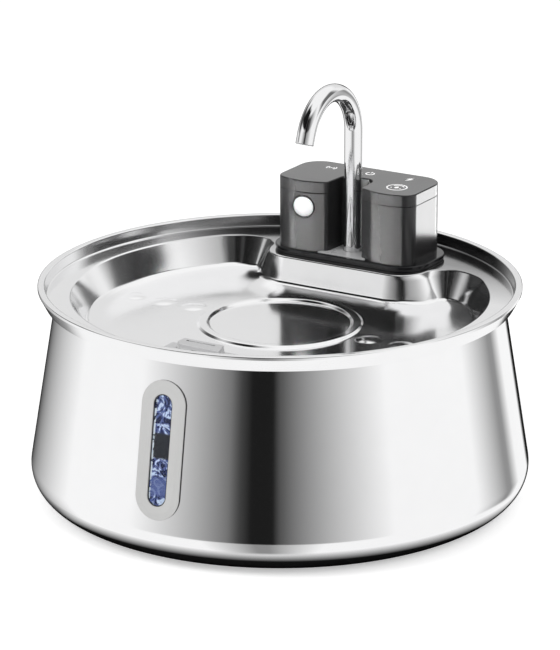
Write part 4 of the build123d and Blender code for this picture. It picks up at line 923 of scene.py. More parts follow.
@dataclass(frozen=True)
class Clear(Finish):
    """A clear window lens."""

    color: Vec3 = (0.93, 0.97, 1.0)
    roughness: Vec2 = (0.0, 0.05)
    smudge_scale: float = 60.0

    def lay(self, paint: Paint) -> None:
        """Feeds a see-through shader with faint smudges."""
        paint.apply(Transmission_Weight=1.0, IOR=1.18, Base_Color=(*self.color, 1.0))
        paint.smudged(self.smudge_scale, self.roughness)


@dataclass(frozen=True)
class Water(Finish):
    """Water behind the level window: painted icy highlights, a painted bright line near the left
    edge, and a dark band in the middle.
    """

    deep: Vec3 = (0.012, 0.017, 0.07)
    blue: Vec3 = (0.12, 0.155, 0.38)
    pale: Vec3 = (0.74, 0.82, 1.0)
    dark: Vec3 = (0.02, 0.02, 0.026)
    painted_gleam: Vec3 = (0.93, 0.96, 1.0)
    dark_band: Vec3 = (56.0, 69.5, 1.0)
    calm_band: Vec3 = (37.0, 48.0, 2.0)
    gleam_band: Vec3 = (0.8, 2.1, 0.3)
    calm: float = 0.85
    breaks: float = 0.3

    def lay(self, paint: Paint) -> None:
        """Feeds a smooth shader with bands, painted broken highlights and a painted bright edge
        line.

        Args:
            paint: the material under construction.
        """
        ripple = paint.effect(Effect.RIPPLE, Scale=170.0, Twist=2.4)
        mask = ripple.outputs["Mask"]
        calm = paint.times(paint.band(2, *self.calm_band), self.calm)
        # the ripple's pale lights are painted highlights in the base colour
        color = paint.blend(calm, self._painted_glints(paint, mask), self.blue)
        color = paint.blend(paint.band(2, *self.dark_band), color, self.dark)
        # painted highlight: a bright line near the lens's left edge
        broken = paint.math("GREATER_THAN", mask, self.breaks)
        line = paint.times(paint.band(0, *self.gleam_band), broken)
        color = paint.blend(line, color, self.painted_gleam)
        paint.apply(Roughness=0.12, Specular_IOR_Level=0.15, Base_Color=color)
        paint.bump(ripple.outputs["Height"], 0.3, 1.0)

    def _painted_glints(self, paint: Paint, mask: Socket) -> Socket:
        """The ripple's mask as colours, from deep over blue to pale: the pale parts are painted
        highlights.

        Args:
            paint: the material under construction.
            mask: the ripple's mask.

        Returns:
            The colours.
        """
        node = paint.node("ValToRGB", Fac=mask)
        ends = node.color_ramp.elements
        for end, position, color in ((ends[0], 0.3, self.deep), (ends[1], 0.78, self.pale)):
            end.position = position
            end.color = (*color, 1.0)
        for position in (0.45, 0.62):
            ends.new(position).color = (*self.blue, 1.0)
        return node.outputs["Color"]


FINISHES: dict[str, Finish] = {
    "polished_steel": Metal((0.93, 0.93, 0.935), (0.05, 0.09), 2600.0, 0.02),
    # the pressed steel's darker rim back is painted shade
    "pressed_steel": ShadedRimSteel((0.93, 0.93, 0.935), (0.11, 0.16), 2600.0, 0.02),
    "faucet_chrome": Metal((0.9, 0.9, 0.905), (0.05, 0.09)),
    "foot_silicone": Plastic((0.55, 0.55, 0.56), (0.5, 0.6), 0.2, soft=0.1),
    "black_silicone": Plastic((0.012, 0.012, 0.013), (0.3, 0.42), 0.15),
    "frame_grey": Plastic((0.53, 0.53, 0.525), (0.3, 0.38), 0.08),
    "clear_lens": Clear(),
    "window_water": Water(),
    "clamp_white": Plastic((0.8, 0.8, 0.8), (0.35, 0.45), 0.1),
    "housing_grey": Plastic((0.014, 0.014, 0.0145), (0.19, 0.25)),
    "flange_black": Plastic((0.008, 0.008, 0.009), (0.05, 0.1)),
    "slot_floor": Plastic((0.55, 0.55, 0.555), (0.25, 0.32)),
    "lid_signs": Plastic((0.95, 0.95, 0.95), (0.3, 0.4), glow=0.35),
    "sensor_ring": Plastic((0.006, 0.006, 0.007), (0.1, 0.16), coat=0.2),
    # sensor_white's glow is painted light: the sensor's milky dome is no lamp
    "sensor_white": Plastic((0.93, 0.93, 0.925), (0.2, 0.28), soft=0.3, glow=0.3),
    "tower_grey": Plastic((0.1, 0.103, 0.108), (0.38, 0.48), 0.2),
    "cover_grey": Plastic((0.55, 0.55, 0.555), (0.32, 0.42), 0.15),
    "basket_white": Plastic((0.75, 0.75, 0.75), (0.35, 0.45), 0.1),
    "filter_foam": Porous((0.8, 0.82, 0.84), (0.45, 0.48, 0.52), 900.0, 0.4),
    "carbon_black": Porous((0.02, 0.02, 0.021), (0.08, 0.08, 0.08), 700.0, 0.5),
    "board_green": Plastic((0.012, 0.09, 0.03), (0.22, 0.3), 0.1),
    "battery_blue": Plastic((0.02, 0.06, 0.22), (0.2, 0.3), coat=0.2),
    "light_white": Plastic((0.8, 0.8, 0.75), (0.2, 0.3), soft=0.4),
    "plain_steel": Metal((0.6, 0.6, 0.6), (0.22, 0.34), 9000.0, 0.1, 60.0),
    "winding_copper": Metal((0.6, 0.28, 0.12), (0.3, 0.45), 7000.0, 0.5, 80.0),
    "magnet_dark": Metal((0.1, 0.1, 0.105), (0.5, 0.62), 900.0, 0.1, 60.0),
    "hose_silicone": Plastic((0.7, 0.72, 0.72), (0.3, 0.4), 0.05, soft=0.3),
    "lead_black": Plastic((0.015, 0.015, 0.016), (0.45, 0.55), 0.1),
}


class Wardrobe:
    """Every finish, made once, and the ways a piece is dressed in one."""

    def __init__(self) -> None:
        """Makes the shared groups and all the finishes."""
        self.effects = Effects()
        self.materials = {
            name: finish.paint(name, self.effects) for name, finish in FINISHES.items()
        }

    def dress_frame(self) -> None:
        """Gives every CAD node the finish of its slot in the record."""
        for row in frame["record"]["subparts"]:
            node = frame["nodes"][row["node"]]
            node.data.materials.clear()
            node.data.materials.append(self.materials[row["material_slot"]])

    def dress(
        self,
        piece: Piece,
        body: str,
        slot: str,
        replaces: Sequence[str] = (),
        finish: str = "",
    ) -> None:
        """Finishes a new piece and ties it to the frame.

        Args:
            piece: the object.
            body: the CAD body that it rides on.
            slot: the record's slot that its finish belongs to.
            replaces: the CAD nodes that it stands for.
            finish: its own finish, if it isn't the slot's.
        """
        piece.data.materials.clear()
        piece.data.materials.append(self.materials[finish or slot])
        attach(piece, body)
        if replaces:
            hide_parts(*replaces)


@dataclass(frozen=True)
class SoftBox:
    """A rectangular lamp that the camera doesn't see."""

    name: str
    place: Vec3
    aim: Vec3
    width: float
    height: float
    power: float
    shadow: bool = True
    mirrored: bool = True

    def build(self) -> Piece:
        """Makes the lamp, turned to what it is aimed at.

        Returns:
            The linked lamp.
        """
        data = bpy.data.lights.new(self.name, "AREA")
        data.shape = "RECTANGLE"
        data.size = self.width * MM
        data.size_y = self.height * MM
        data.energy = self.power
        data.use_shadow = self.shadow
        data.cycles.use_multiple_importance_sampling = self.shadow
        lamp = add_object(self.name, data)
        way = Vector(self.aim) - Vector(self.place)
        lamp.location = Vector(self.place) * MM
        lamp.rotation_euler = way.to_track_quat("-Z", "Y").to_euler()
        lamp.visible_camera = False
        lamp.visible_glossy = self.mirrored
        return lamp


HOUSING_BOXES = (
    SoftBox("flank_box", (130.0, 265.0, 62.0), (41.0, 82.0, 130.0), 130.0, 120.0, 0.36),
    SoftBox("lobe_box", (-101.0, -154.0, 53.0), (0.0, 62.0, 130.0), 330.0, 200.0, 0.8, False),
    SoftBox("lid_box", (-196.0, 408.0, 273.0), (0.0, 82.0, 149.0), 500.0, 300.0, 0.18),
)


# ---------------------------------------------------------------- tank ----


@dataclass
class Tank:
    """The conical tank with its level window."""

    wardrobe: Wardrobe
    columns: int = 720
    foot_height: float = 1.5
    radius: float = 130.0
    corner: float = 16.4
    lean: float = math.radians(9.3)
    sheet: float = 0.8
    recess: float = 2.0
    recess_radius: float = 90.0
    top: float = 106.5
    flange: float = 4.0
    window_height: float = 60.5
    window_turn: float = math.radians(2.7)
    frame_width: float = 24.5
    frame_length: float = 70.4
    frame_proud: float = 1.5
    lens_width: float = 10.4
    lens_length: float = 58.0
    lens_sunk: float = 0.7
    lens_gap: float = 0.1
    seal_back: float = -0.75
    seal_top: float = 0.25
    patch_half: float = 37.5
    patch_columns: int = 18
    patch_rows: int = 12

    def wall_radius(self, height: float, inset: float = 0.0) -> float:
        """Radius of the leaning wall.

        Args:
            height: where it is measured.
            inset: how far inside the outer face.

        Returns:
            The radius.
        """
        start = self.radius - self.corner * (1 - math.cos(self.lean))
        base = self.foot_height + self.corner * (1 + math.sin(self.lean))
        return start - (height - base) * math.tan(self.lean) - inset / math.cos(self.lean)

    def window_matrix(self) -> Matrix:
        """Place of the window: x to the right, y up the wall, z outward.

        Returns:
            The matrix, in millimetres.
        """
        up = Vector((0.0, math.sin(self.lean), math.cos(self.lean)))
        out = Vector((0.0, -math.cos(self.lean), math.sin(self.lean)))
        matrix = Matrix((Vector((1.0, 0.0, 0.0)), up, out)).transposed().to_4x4()
        matrix.translation = (0.0, -self.wall_radius(self.window_height), self.window_height)
        return Matrix.Rotation(self.window_turn, 4, "Z") @ matrix

    def build(self) -> None:
        """Makes the wall, the window's frame, its lens and the water behind."""
        self._wall()
        self._window()

    def _wall(self) -> None:
        """The steel shell with the cut-out for the window."""
        low = self.window_height - self.patch_half
        high = self.window_height + self.patch_half
        floor, s, dish = self.foot_height, self.sheet, self.recess_radius
        mouth = self.wall_radius(self.top, s) - self.flange
        corners = [
            (0.0, floor + self.recess),
            (dish, floor + self.recess, 2.0),
            (dish + 2 * self.recess, floor, 2.0),
            (self.wall_radius(floor), floor, self.corner),
            (self.wall_radius(low), low),
            (self.wall_radius(high), high),
            (self.wall_radius(self.top), self.top, 0.5),
            (mouth, self.top),
            (mouth, self.top - s),
            (self.wall_radius(self.top - s, s), self.top - s, 0.3),
            (self.wall_radius(high, s), high),
            (self.wall_radius(low, s), low),
            (self.wall_radius(floor + s, s), floor + s, self.corner - s),
            (dish + 2 * self.recess, floor + s, 2.0),
            (dish, floor + s + self.recess, 2.0),
            (0.0, floor + s + self.recess),
        ]
        front = self.columns * 3 // 4
        columns = range(front - self.patch_columns, front + self.patch_columns)

        def in_patch(span: Span, station: int) -> bool:
            """Whether a face of the wall lies where the window's part goes."""
            ends = zip(sorted((span.start[1], span.end[1])), (low, high))
            return station in columns and all(abs(a - b) < 0.01 for a, b in ends)

        skin = Skin()
        skin.sweep(Plan.circle(self.columns), Trace(corners, step=4.0), in_patch)
        self._patch(skin, low, high, columns)
        self.wardrobe.dress(skin.build("tank_wall"), "tank", "polished_steel", ["tank_shell"])

    def _patch(self, skin: Skin, low: float, high: float, columns: range) -> None:
        """Fills the part of the wall round the window's cut-out.

        Args:
            skin: the wall that it belongs to.
            low: height of its lower border.
            high: height of its upper border.
            columns: the wall's stations that it spans.
        """
        angles = [FULL_TURN * j / self.columns for j in (*columns, columns.stop)]
        up = math.cos(self.lean)
        gap = self.lens_gap
        outline = stadium(self.lens_width + 2 * gap, self.lens_length + 2 * gap).walk(2.0)
        middle_angle = 1.5 * math.pi + self.window_turn
        hole = []
        for (u, v), _ in outline:
            height = self.window_height + v * up
            hole.append((middle_angle + math.asin(u / self.wall_radius(height)), height))
        stretch = self.wall_radius(self.window_height)
        border = [(a * stretch, low) for a in angles]
        border += [(a * stretch, high) for a in reversed(angles)]
        cut = [(a * stretch, z) for a, z in hole]
        middle = middle_angle * stretch
        half_width, half_length = self.lens_width / 2 + 1.0, self.lens_length / 2 + 1.0
        rows = self.patch_rows
        levels = [low + (high - low) * k / rows for k in range(1, rows)]
        loose = [
            (a * stretch, z)
            for a in angles[1:-1]
            for z in levels
            if abs(a * stretch - middle) > half_width or abs(z - self.window_height) > half_length
        ]

        def outside_cut(x: float, z: float) -> bool:
            """Whether a spot of the wall lies beside the cut-out."""
            straight = self.lens_length / 2 - self.lens_width / 2
            over = max(abs((z - self.window_height) / up) - straight, 0.0)
            return math.hypot(x - middle, over) > self.lens_width / 2 + gap

        for inset, sign in ((0.0, 1.0), (self.sheet, -1.0)):

            def place(x: float, z: float, inset: float = inset, sign: float = sign) -> Spot:
                """Rolls the flat drawing round the wall."""
                angle, r = x / stretch, self.wall_radius(z, inset)
                lean = math.cos(self.lean) * sign
                return (
                    (r * math.cos(angle), r * math.sin(angle), z),
                    (lean * math.cos(angle), lean * math.sin(angle), math.sin(self.lean) * sign),
                )

            skin.plate([border, cut], loose, outside_cut, place)
        rims = []
        for inset in (0.0, self.sheet):
            turned = [(self.wall_radius(z, inset), a, z) for a, z in hole]
            rims.append([(r * math.cos(a), r * math.sin(a), z) for r, a, z in turned])
        skin.bridge(rims[0], rims[1], [(-n[0], 0.0, -n[1]) for _, n in outline])

    def _window(self) -> None:
        """The frame, the seal, the lens and the water, drawn in the window's plane."""
        rim = (self.frame_width - self.lens_width) / 2
        back, face = self.seal_back, self.frame_proud
        lens = face - self.lens_sunk
        low, lip = self.seal_top, lens + 0.1
        bezel = [
            (0.0, 0.2, 0.1),
            (0.0, 0.8, 0.3),
            (-3.2, face, 4.0),
            (0.05 - rim, face, 0.4),
            (0.05 - rim, 0.2),
        ]
        outer = [(-0.1, back), (-0.1, low), (0.2 - rim, low), (0.2 - rim, back)]
        inner = [(0.1 - rim, back), (0.1 - rim, lip), (-rim - 0.4, lip), (-rim - 0.4, back)]
        side, front = -rim - 0.02, -rim - 0.6
        pane = [(side, lens - 0.35), (side, lens, 0.15), (front, lens)]
        water = [(side, back - 1.6), (side, lens - 0.45), (front, lens - 0.4)]
        frame_piece = self._hoop("window_bezel", [bezel], 10.0)
        self.wardrobe.dress(frame_piece, "tank", "frame_grey", ["window_frame"])
        seal = self._hoop("window_seal", [outer, inner])
        self.wardrobe.dress(seal, "tank", "black_silicone")
        glass = self._pill("window_pane", pane)
        self.wardrobe.dress(glass, "tank", "clear_lens", ["window_lens"])
        filling = self._pill("window_water", water)
        self.wardrobe.dress(filling, "tank", "clear_lens", finish="window_water")

    def _window_plan(self) -> Plan:
        """The window's border, which all its sections are measured inward from."""
        return Plan.outline(stadium(self.frame_width, self.frame_length))

    def _hoop(self, name: str, sections: Sequence[Corners], step: float = 8.0) -> Piece:
        """Closed sections carried round the window.

        Args:
            name: the piece's name.
            sections: their corners, as for a Trace.
            step: largest angle of one piece of an arc, in degrees.

        Returns:
            The object.
        """
        skin = Skin()
        for section in sections:
            skin.sweep(self._window_plan(), Trace(section, closed=True, step=step))
        return skin.build(name, self.window_matrix())

    def _pill(self, name: str, section: Corners) -> Piece:
        """A solid piece that fills the window, from the corners of its border.

        Args:
            name: the piece's name.
            section: the corners, as for a Trace.

        Returns:
            The object.
        """
        skin = Skin()
        rows = skin.sweep(self._window_plan(), Trace(section))
        skin.cap(rows[-1], UP)
        skin.cap(rows[0], DOWN)
        return skin.build(name, self.window_matrix())


# ---------------------------------------------------------------- tray ----


class Bowl:
    """Height of the round bowl by radius, with its slope."""

    def __init__(self, corners: Corners) -> None:
        """Samples the drawn profile.

        Args:
            corners: the profile from the axis outward, as for a Trace.
        """
        walk = Trace(corners, step=2.0).walk(0.05)
        self.radii = np.array([p[0] for p, _ in walk])
        self.heights = np.array([p[1] for p, _ in walk])
        self.slopes = np.array([-n[0] / n[1] for _, n in walk])

    def at(self, radius: float) -> tuple[float, float]:
        """Height and slope at a radius.

        Args:
            radius: distance from the tray's middle.

        Returns:
            The two values.
        """
        return (
            float(np.interp(radius, self.radii, self.heights)),
            float(np.interp(radius, self.radii, self.slopes)),
        )


@dataclass(frozen=True)
class Bend:
    """A stretch of the pool's edge: an arc, or a straight line across."""

    x: float
    y: float
    radius: float = 0.0
    side: float = 0.0  # 1 where the pool lies inside the arc, -1 where outside, 0 for the line

    def past(self, x: float, y: float) -> tuple[float, float, float]:
        """Where a spot lies beside the edge.

        Args:
            x: the spot's x.
            y: the spot's y.

        Returns:
            Its distance past the edge, away from the pool, and the direction of that.
        """
        if self.side == 0.0:
            return y - self.y, 0.0, 1.0
        dx, dy = x - self.x, y - self.y
        gap = max(math.hypot(dx, dy), 1e-6)
        return self.side * (gap - self.radius), self.side * dx / gap, self.side * dy / gap

    def mirrored(self) -> "Bend":
        """The same stretch on the left."""
        return replace(self, x=-self.x)


@dataclass(frozen=True)
class EdgePoint:
    """A point of the pool's edge, with the lean of the wall below it."""

    spot: Vec2
    bend: Bend
    lean: float
    change: Vec2  # how the lean changes along the edge
    fill: float

    def mirrored(self) -> "EdgePoint":
        """The same point on the left."""
        spot, change = ((-x, y) for x, y in (self.spot, self.change))
        return replace(self, spot=spot, change=change, bend=self.bend.mirrored())

    def lean_at(self, x: float, y: float) -> float:
        """Lean of the wall beside this point."""
        dx, dy = x - self.spot[0], y - self.spot[1]
        return self.lean + self.change[0] * dx + self.change[1] * dy


@dataclass
class DrinkingTray:
    """The lift-off steel tray with its pool and rear platform."""

    wardrobe: Wardrobe
    columns: int = 540
    sheet: float = 0.8
    lip_height: float = 113.9
    lip_radius: float = 124.8
    rim_flat: float = 3.7
    bead: float = 1.65
    skirt_drop: float = 8.25
    skirt_inset: float = 3.5
    ledge: float = 107.5
    ledge_radius: float = 108.1
    floor: float = 90.7
    fill_height: float = 4.5
    fill_reach: float = 7.0
    ridge: tuple[float, float, float, float] = (36.4, 43.2, 1.5, 1.6)
    dome_radius: float = 6.75
    dome_height: float = 0.9
    dome_soft: float = 0.22
    dome_places: tuple[float, ...] = (53.0, 71.5, 90.0)
    platform_front: float = 55.4
    platform_half: float = 47.4
    platform_corner: float = 17.0
    leans: Vec2 = (0.25, 0.56)
    lean_turn: Vec2 = (34.0, 66.0)
    fills: tuple[float, ...] = (0.75, 0.85, 0.5, 0.85, 1.0)
    pocket_radius: float = 12.5
    pocket_back: float = 80.8
    foot_round: float = 2.0
    edge_round: float = 1.3
    edge_pitch: float = 0.6
    wall_span: Vec2 = (-16.0, 3.0)
    usual_depth: float = 13.0
    seam_radius: float = 118.0
    drain_half: float = 26.0
    drain_back: float = -61.0
    drain_radius: float = 84.0
    opening_half: float = 26.0
    opening_y: Vec2 = (64.5, 98.5)
    opening_round: float = 6.0
    bowl: Bowl = field(init=False)
    outline: list[EdgePoint] = field(init=False)
    tree: KDTree = field(init=False)
    spots: np.ndarray = field(init=False)
    weights: np.ndarray = field(init=False)
    dome_ball: float = field(init=False)

    def __post_init__(self) -> None:
        """Works out the floor's profile, the pool's edge and the domes."""
        inner, outer, high, slope = self.ridge
        low, top = self.floor, self.floor + high
        profile = [
            (0.0, low),
            (inner, low, 1.2),
            (inner + slope, top, 1.0),
            (outer - slope, top, 1.0),
            (outer, low, 1.2),
            (self.seam_radius + 1.0, low),
        ]
        self.bowl = Bowl(profile)
        self.outline = self._pool_edge()
        self.tree = KDTree(len(self.outline))
        for k, point in enumerate(self.outline):
            self.tree.insert((*point.spot, 0.0), k)
        self.tree.balance()
        sparse = self.outline[::3]
        self.spots = np.array([point.spot for point in sparse])
        steps = np.linalg.norm(np.roll(self.spots, -1, axis=0) - self.spots, axis=1)
        fills = np.array([point.fill for point in sparse])
        spread = self.fill_reach * math.sqrt(FULL_TURN)
        self.weights = self.fill_height * fills * np.minimum(steps, 3.0) / spread
        self.dome_ball = (self.dome_radius**2 + self.dome_height**2) / (2 * self.dome_height)

    def build(self) -> None:
        """Makes the tray as one pressed sheet with a folded rim."""
        skin = Skin()
        self._rim(skin)
        self._pool(skin)
        tray, bodies = skin.build("drinking_tray"), ["tray_pan"]
        self.wardrobe.dress(tray, "tray", "polished_steel", bodies, "pressed_steel")

    def _pool_edge(self) -> list[EdgePoint]:
        """The pool's edge: the ledge, the pockets and the front of the platform.

        Returns:
            Its points in order, at an even pitch.
        """
        cx = self.platform_half - self.platform_corner
        cy = self.platform_front + self.platform_corner
        py = self.pocket_back - self.pocket_radius
        reach = self.platform_corner + self.pocket_radius
        px = cx + math.sqrt(reach**2 - (cy - py) ** 2)
        blend = self.ledge_radius**2 - px**2 - self.pocket_back**2
        blend /= 2 * (self.ledge_radius - self.pocket_back)
        by = self.pocket_back - blend
        meet = math.atan2(py - cy, px - cx)
        end = math.atan2(by, px)
        half: list[EdgePoint] = []
        run = 0.0

        def mark(spot: Vec2, bend: Bend, along: Vec2, fill: float) -> None:
            """Adds a point, with the wall's lean that far from the middle.

            Args:
                spot: its place.
                bend: the stretch that it is on.
                along: direction of the edge.
                fill: how much the floor rises there.
            """
            first, last = self.lean_turn
            share = min(1.0, max(0.0, (run - first) / (last - first)))
            smooth = share * share * (3 - 2 * share)
            low, high = self.leans
            rate = (high - low) * 6 * share * (1 - share) / (last - first)
            change = (along[0] * rate, along[1] * rate)
            half.append(EdgePoint(spot, bend, low + (high - low) * smooth, change, fill))

        steps = math.ceil(cx / self.edge_pitch)
        front = Bend(0.0, self.platform_front)
        for k in range(steps + 1):
            run = cx * k / steps
            mark((run, self.platform_front), front, (1.0, 0.0), self.fills[0])
        arcs = (
            (cx, cy, self.platform_corner, -math.pi / 2, meet, -1.0),
            (px, py, self.pocket_radius, meet + math.pi, math.pi / 2, 1.0),
            (px, by, blend, math.pi / 2, end, 1.0),
            (0.0, 0.0, self.ledge_radius, end, -math.pi / 2, 1.0),
        )
        for (x, y, radius, first, last, side), fill in zip(arcs, self.fills[1:]):
            bend = Bend(x, y, radius, side)
            length = abs(last - first) * radius
            count = math.ceil(length / self.edge_pitch)
            turn = math.copysign(1.0, last - first)
            for k in range(1, count + 1):
                a = first + (last - first) * k / count
                run += length / count
                c, d = math.cos(a), math.sin(a)
                mark((x + radius * c, y + radius * d), bend, (-d * turn, c * turn), fill)
        return [point.mirrored() for point in half[-2:0:-1]] + half

    def _rise(self, run: float, high: float, lean: float) -> tuple[float, float, float]:
        """The pool's wall above the local floor.

        Args:
            run: distance inward from the wall's foot.
            high: height of the ledge above the local floor.
            lean: how far the wall leans back for each unit of its height.

        Returns:
            Height above the floor, slope, and how much the floor's own slope counts.
        """
        foot, edge, low_run, top_run = self._rounds(high, lean)
        width = high * lean
        sine = lean / math.hypot(1.0, lean)
        if run <= -low_run:
            return 0.0, 0.0, 1.0
        if run <= low_run * sine:
            depth = math.sqrt(max(foot**2 - (run + low_run) ** 2, 1e-9))
            slope = (run + low_run) / depth
            return foot - depth, slope, max(0.0, 1.0 - lean * slope)
        if run <= width - top_run * sine:
            return run / lean, 1.0 / lean, 0.0
        if run < width + top_run:
            across = width + top_run - run
            depth = math.sqrt(max(edge**2 - across**2, 1e-9))
            return high - edge + depth, across / depth, 0.0
        return high, 0.0, 0.0

    def _rounds(self, high: float, lean: float) -> tuple[float, float, float, float]:
        """The rounded ends of the pool's wall.

        Args:
            high: height of the ledge above the local floor.
            lean: how far the wall leans back for each unit of its height.

        Returns:
            Radii at the wall's foot and edge, and how far each reaches.
        """
        half_turn = math.tan((math.pi / 2 - math.atan(lean)) / 2)
        foot = min(self.foot_round, high * 0.35)
        edge = min(self.edge_round, high * 0.3)
        return foot, edge, foot * half_turn, edge * half_turn

    def _rows(self, high: float, lean: float) -> list[float]:
        """Distances inward from the pool's edge at which its wall has points.

        Args:
            high: height of the ledge above the local floor.
            lean: how far the wall leans back for each unit of its height.

        Returns:
            Distances from the floor side to the top.
        """
        foot, edge, low_run, top_run = self._rounds(high, lean)
        width = high * lean
        turn = math.pi / 2 - math.atan(lean)
        runs = [-low_run - 1.8, -low_run - 1.0, -low_run - 0.35]
        runs += [foot * math.sin(turn * k / 7) - low_run for k in range(8)]
        first, last = runs[-1], width + top_run - edge * math.sin(turn)
        runs += [first + (last - first) * k / 5 for k in range(1, 5)]
        runs += [width + top_run - edge * math.sin(turn * k / 5) for k in range(5, -1, -1)]
        runs.append(width + top_run + 0.6)
        return [run - width for run in runs]

    def _floor(self, x: float, y: float) -> tuple[float, float, float]:
        """The pool's floor, with its ring, domes and rising border.

        Args:
            x: the spot's x.
            y: the spot's y.

        Returns:
            Its height, and its slopes along x and y.
        """
        radius = max(math.hypot(x, y), 1e-6)
        height, slope = self.bowl.at(radius)
        gx, gy = slope * x / radius, slope * y / radius
        across = (x, y) - self.spots
        square = self.fill_reach**2
        near = self.weights * np.exp(-(across**2).sum(axis=1) / (2 * square))
        height += float(near.sum())
        fall = near @ across / square
        gx, gy = gx - float(fall[0]), gy - float(fall[1])
        for place in self.dome_places:
            if math.hypot(abs(x) - place, y) <= self.dome_radius + 3.0:
                height, gx, gy = self._dome(x, y, place, height, gx, gy)
        return height, gx, gy

    def surface(self, x: float, y: float) -> Spot:
        """The tray's upper skin.

        Args:
            x: the spot's x.
            y: the spot's y.

        Returns:
            The point over the spot, and its normal.
        """
        edge = self.outline[self.tree.find((x, y, 0.0))[1]]
        past, nx, ny = edge.bend.past(x, y)
        if past > self.wall_span[1]:
            return (x, y, self.ledge), UP
        height, gx, gy = self._floor(x, y)
        if past > self.wall_span[0]:
            high = self.ledge - height
            lean = edge.lean_at(x, y)
            up, wall, keep = self._rise(past + high * lean, high, lean)
            height += up
            twist = wall * high if keep > 0.0 or past < -0.1 * high * lean else 0.0
            gx = gx * keep + wall * nx + twist * edge.change[0]
            gy = gy * keep + wall * ny + twist * edge.change[1]
        size = math.sqrt(gx * gx + gy * gy + 1.0)
        return (x, y, height), (-gx / size, -gy / size, 1.0 / size)

    def _underside(self, x: float, y: float) -> Spot:
        """The tray's lower skin, as surface gives the upper one."""
        point, normal = self.surface(x, y)
        return tuple(c - n * self.sheet for c, n in zip(point, normal)), tuple(-n for n in normal)

    def _dome(
        self, x: float, y: float, place: float, height: float, gx: float, gy: float
    ) -> tuple[float, float, float]:
        """Lets a low dome rise out of the floor.

        Args:
            x: the spot's x.
            y: the spot's y.
            place: how far the dome's middle lies from the tray's.
            height: the floor's height.
            gx: the floor's slope along x.
            gy: the floor's slope along y.

        Returns:
            The height and the slopes with the dome.
        """
        dx, dy = x - math.copysign(place, x), y
        top = self.floor + self.dome_height
        depth = math.sqrt(max(self.dome_ball**2 - dx * dx - dy * dy, 1e-9))
        ball = top - self.dome_ball + depth
        soft = self.dome_soft
        near = max(soft - abs(ball - height), 0.0) / soft
        share = near / 2 if ball < height else 1.0 - near / 2
        mixed = max(ball, height) + near * near * soft / 4
        return (
            mixed,
            gx * (1 - share) - dx / depth * share,
            gy * (1 - share) - dy / depth * share,
        )

    def _rim(self, skin: Skin) -> None:
        """The folded rim, from under the ledge round to the ledge.

        Args:
            skin: the tray.
        """
        inner = self.lip_radius - self.rim_flat
        skirt = self.lip_radius - self.skirt_inset
        low = self.lip_height - self.skirt_drop
        corners = [
            (self.seam_radius, self.ledge - self.sheet),
            (skirt - 1.0, self.ledge - self.sheet, 0.2),
            (skirt - 1.0, low),
            (skirt, low, 0.25),
            (self.lip_radius, self.lip_height - self.bead, 0.5),
            (self.lip_radius, self.lip_height, 0.6),
            (inner, self.lip_height, 0.7),
            (inner - 0.4, self.ledge, 1.0),
            (self.seam_radius, self.ledge),
        ]
        skin.sweep(Plan.circle(self.columns), Trace(corners, step=6.0))

    def _rings(self) -> list[tuple[float, int]]:
        """The rings of points over the pool.

        Returns:
            The radius of each ring and the count of its points.
        """
        inner, outer, _, _ = self.ridge
        steps = [(r, 60) for r in (9.0, 18.0, 26.0, 32.0)]
        fine = int((outer - inner + 4.0) / 0.4) + 1
        steps += [(inner - 2.0 + 0.4 * k, 400) for k in range(fine)]
        steps += [(r, 150) for r in (49.0, 55.0, 61.0, 67.0, 73.0, 78.0, 82.0)]
        steps += [(83.0 + 1.4 * k, 400) for k in range(13)]
        steps += [(r, self.columns) for r in (112.0, 115.0)]
        return steps

    def _pool(self, skin: Skin) -> None:
        """The pool, the ledge and the platform, with their underside.

        Args:
            skin: the tray.
        """
        rows: list[list[float]] = []
        for point in self.outline:
            _, nx, ny = point.bend.past(*point.spot)
            width = point.lean * self.usual_depth
            height = self._floor(point.spot[0] - nx * width, point.spot[1] - ny * width)[0]
            rows.append(self._rows(self.ledge - height, point.lean))

        def clear_of_features(x: float, y: float) -> bool:
            """Whether a plain point may stand here, away from walls, domes and drain.

            Args:
                x: the spot's x.
                y: the spot's y.

            Returns:
                False near a feature that has points of its own.
            """
            k = self.tree.find((x, y, 0.0))[1]
            past = self.outline[k].bend.past(x, y)[0]
            if rows[k][0] - 0.4 < past and math.hypot(x, y) < self.ledge_radius + 2.5:
                return False
            if any(math.hypot(abs(x) - p, y) < self.dome_radius + 2.0 for p in self.dome_places):
                return False
            beside = abs(x) >= self.drain_half + 1.0
            return beside or not -self.drain_radius - 1.0 < y < self.drain_back + 1.0

        loose: list[Vec2] = [(0.0, 0.0)]
        for radius, count in self._rings():
            turns = [FULL_TURN * (k + 0.5) / count for k in range(count)]
            loose += [spot for spot in arc(0.0, 0.0, radius, turns) if clear_of_features(*spot)]
        for point, offsets in zip(self.outline, rows):
            _, nx, ny = point.bend.past(*point.spot)
            loose += [(point.spot[0] + nx * r, point.spot[1] + ny * r) for r in offsets]
        for place in self.dome_places:
            for side in (-1.0, 1.0):
                loose.append((side * place, 0.0))
                for k in range(1, 19):
                    r = (self.dome_radius + 1.2) * k / 18
                    turns = [FULL_TURN * (j + 0.5 * (k % 2)) / 44 for j in range(44)]
                    loose += arc(side * place, 0.0, r, turns)
        edge = circle_line(0.0, 0.0, self.seam_radius, self.columns)
        strip = drain_trace(self.drain_half, self.drain_back, self.drain_radius, 0.0)
        opening = round_box(self.opening_half, *self.opening_y, self.opening_round)
        holes = [[p for p, _ in line] for line in (strip.walk(2.0), opening.walk(3.0))]
        gaps = [Region(hole) for hole in holes]

        def keep(x: float, y: float) -> bool:
            """Whether a spot is sheet and not an opening."""
            return not any(gap.holds(x, y) for gap in gaps)

        for place in (self.surface, self._underside):
            skin.plate([edge, *holes], loose, keep, place)
        for hole in holes:
            self._hem(skin, hole)

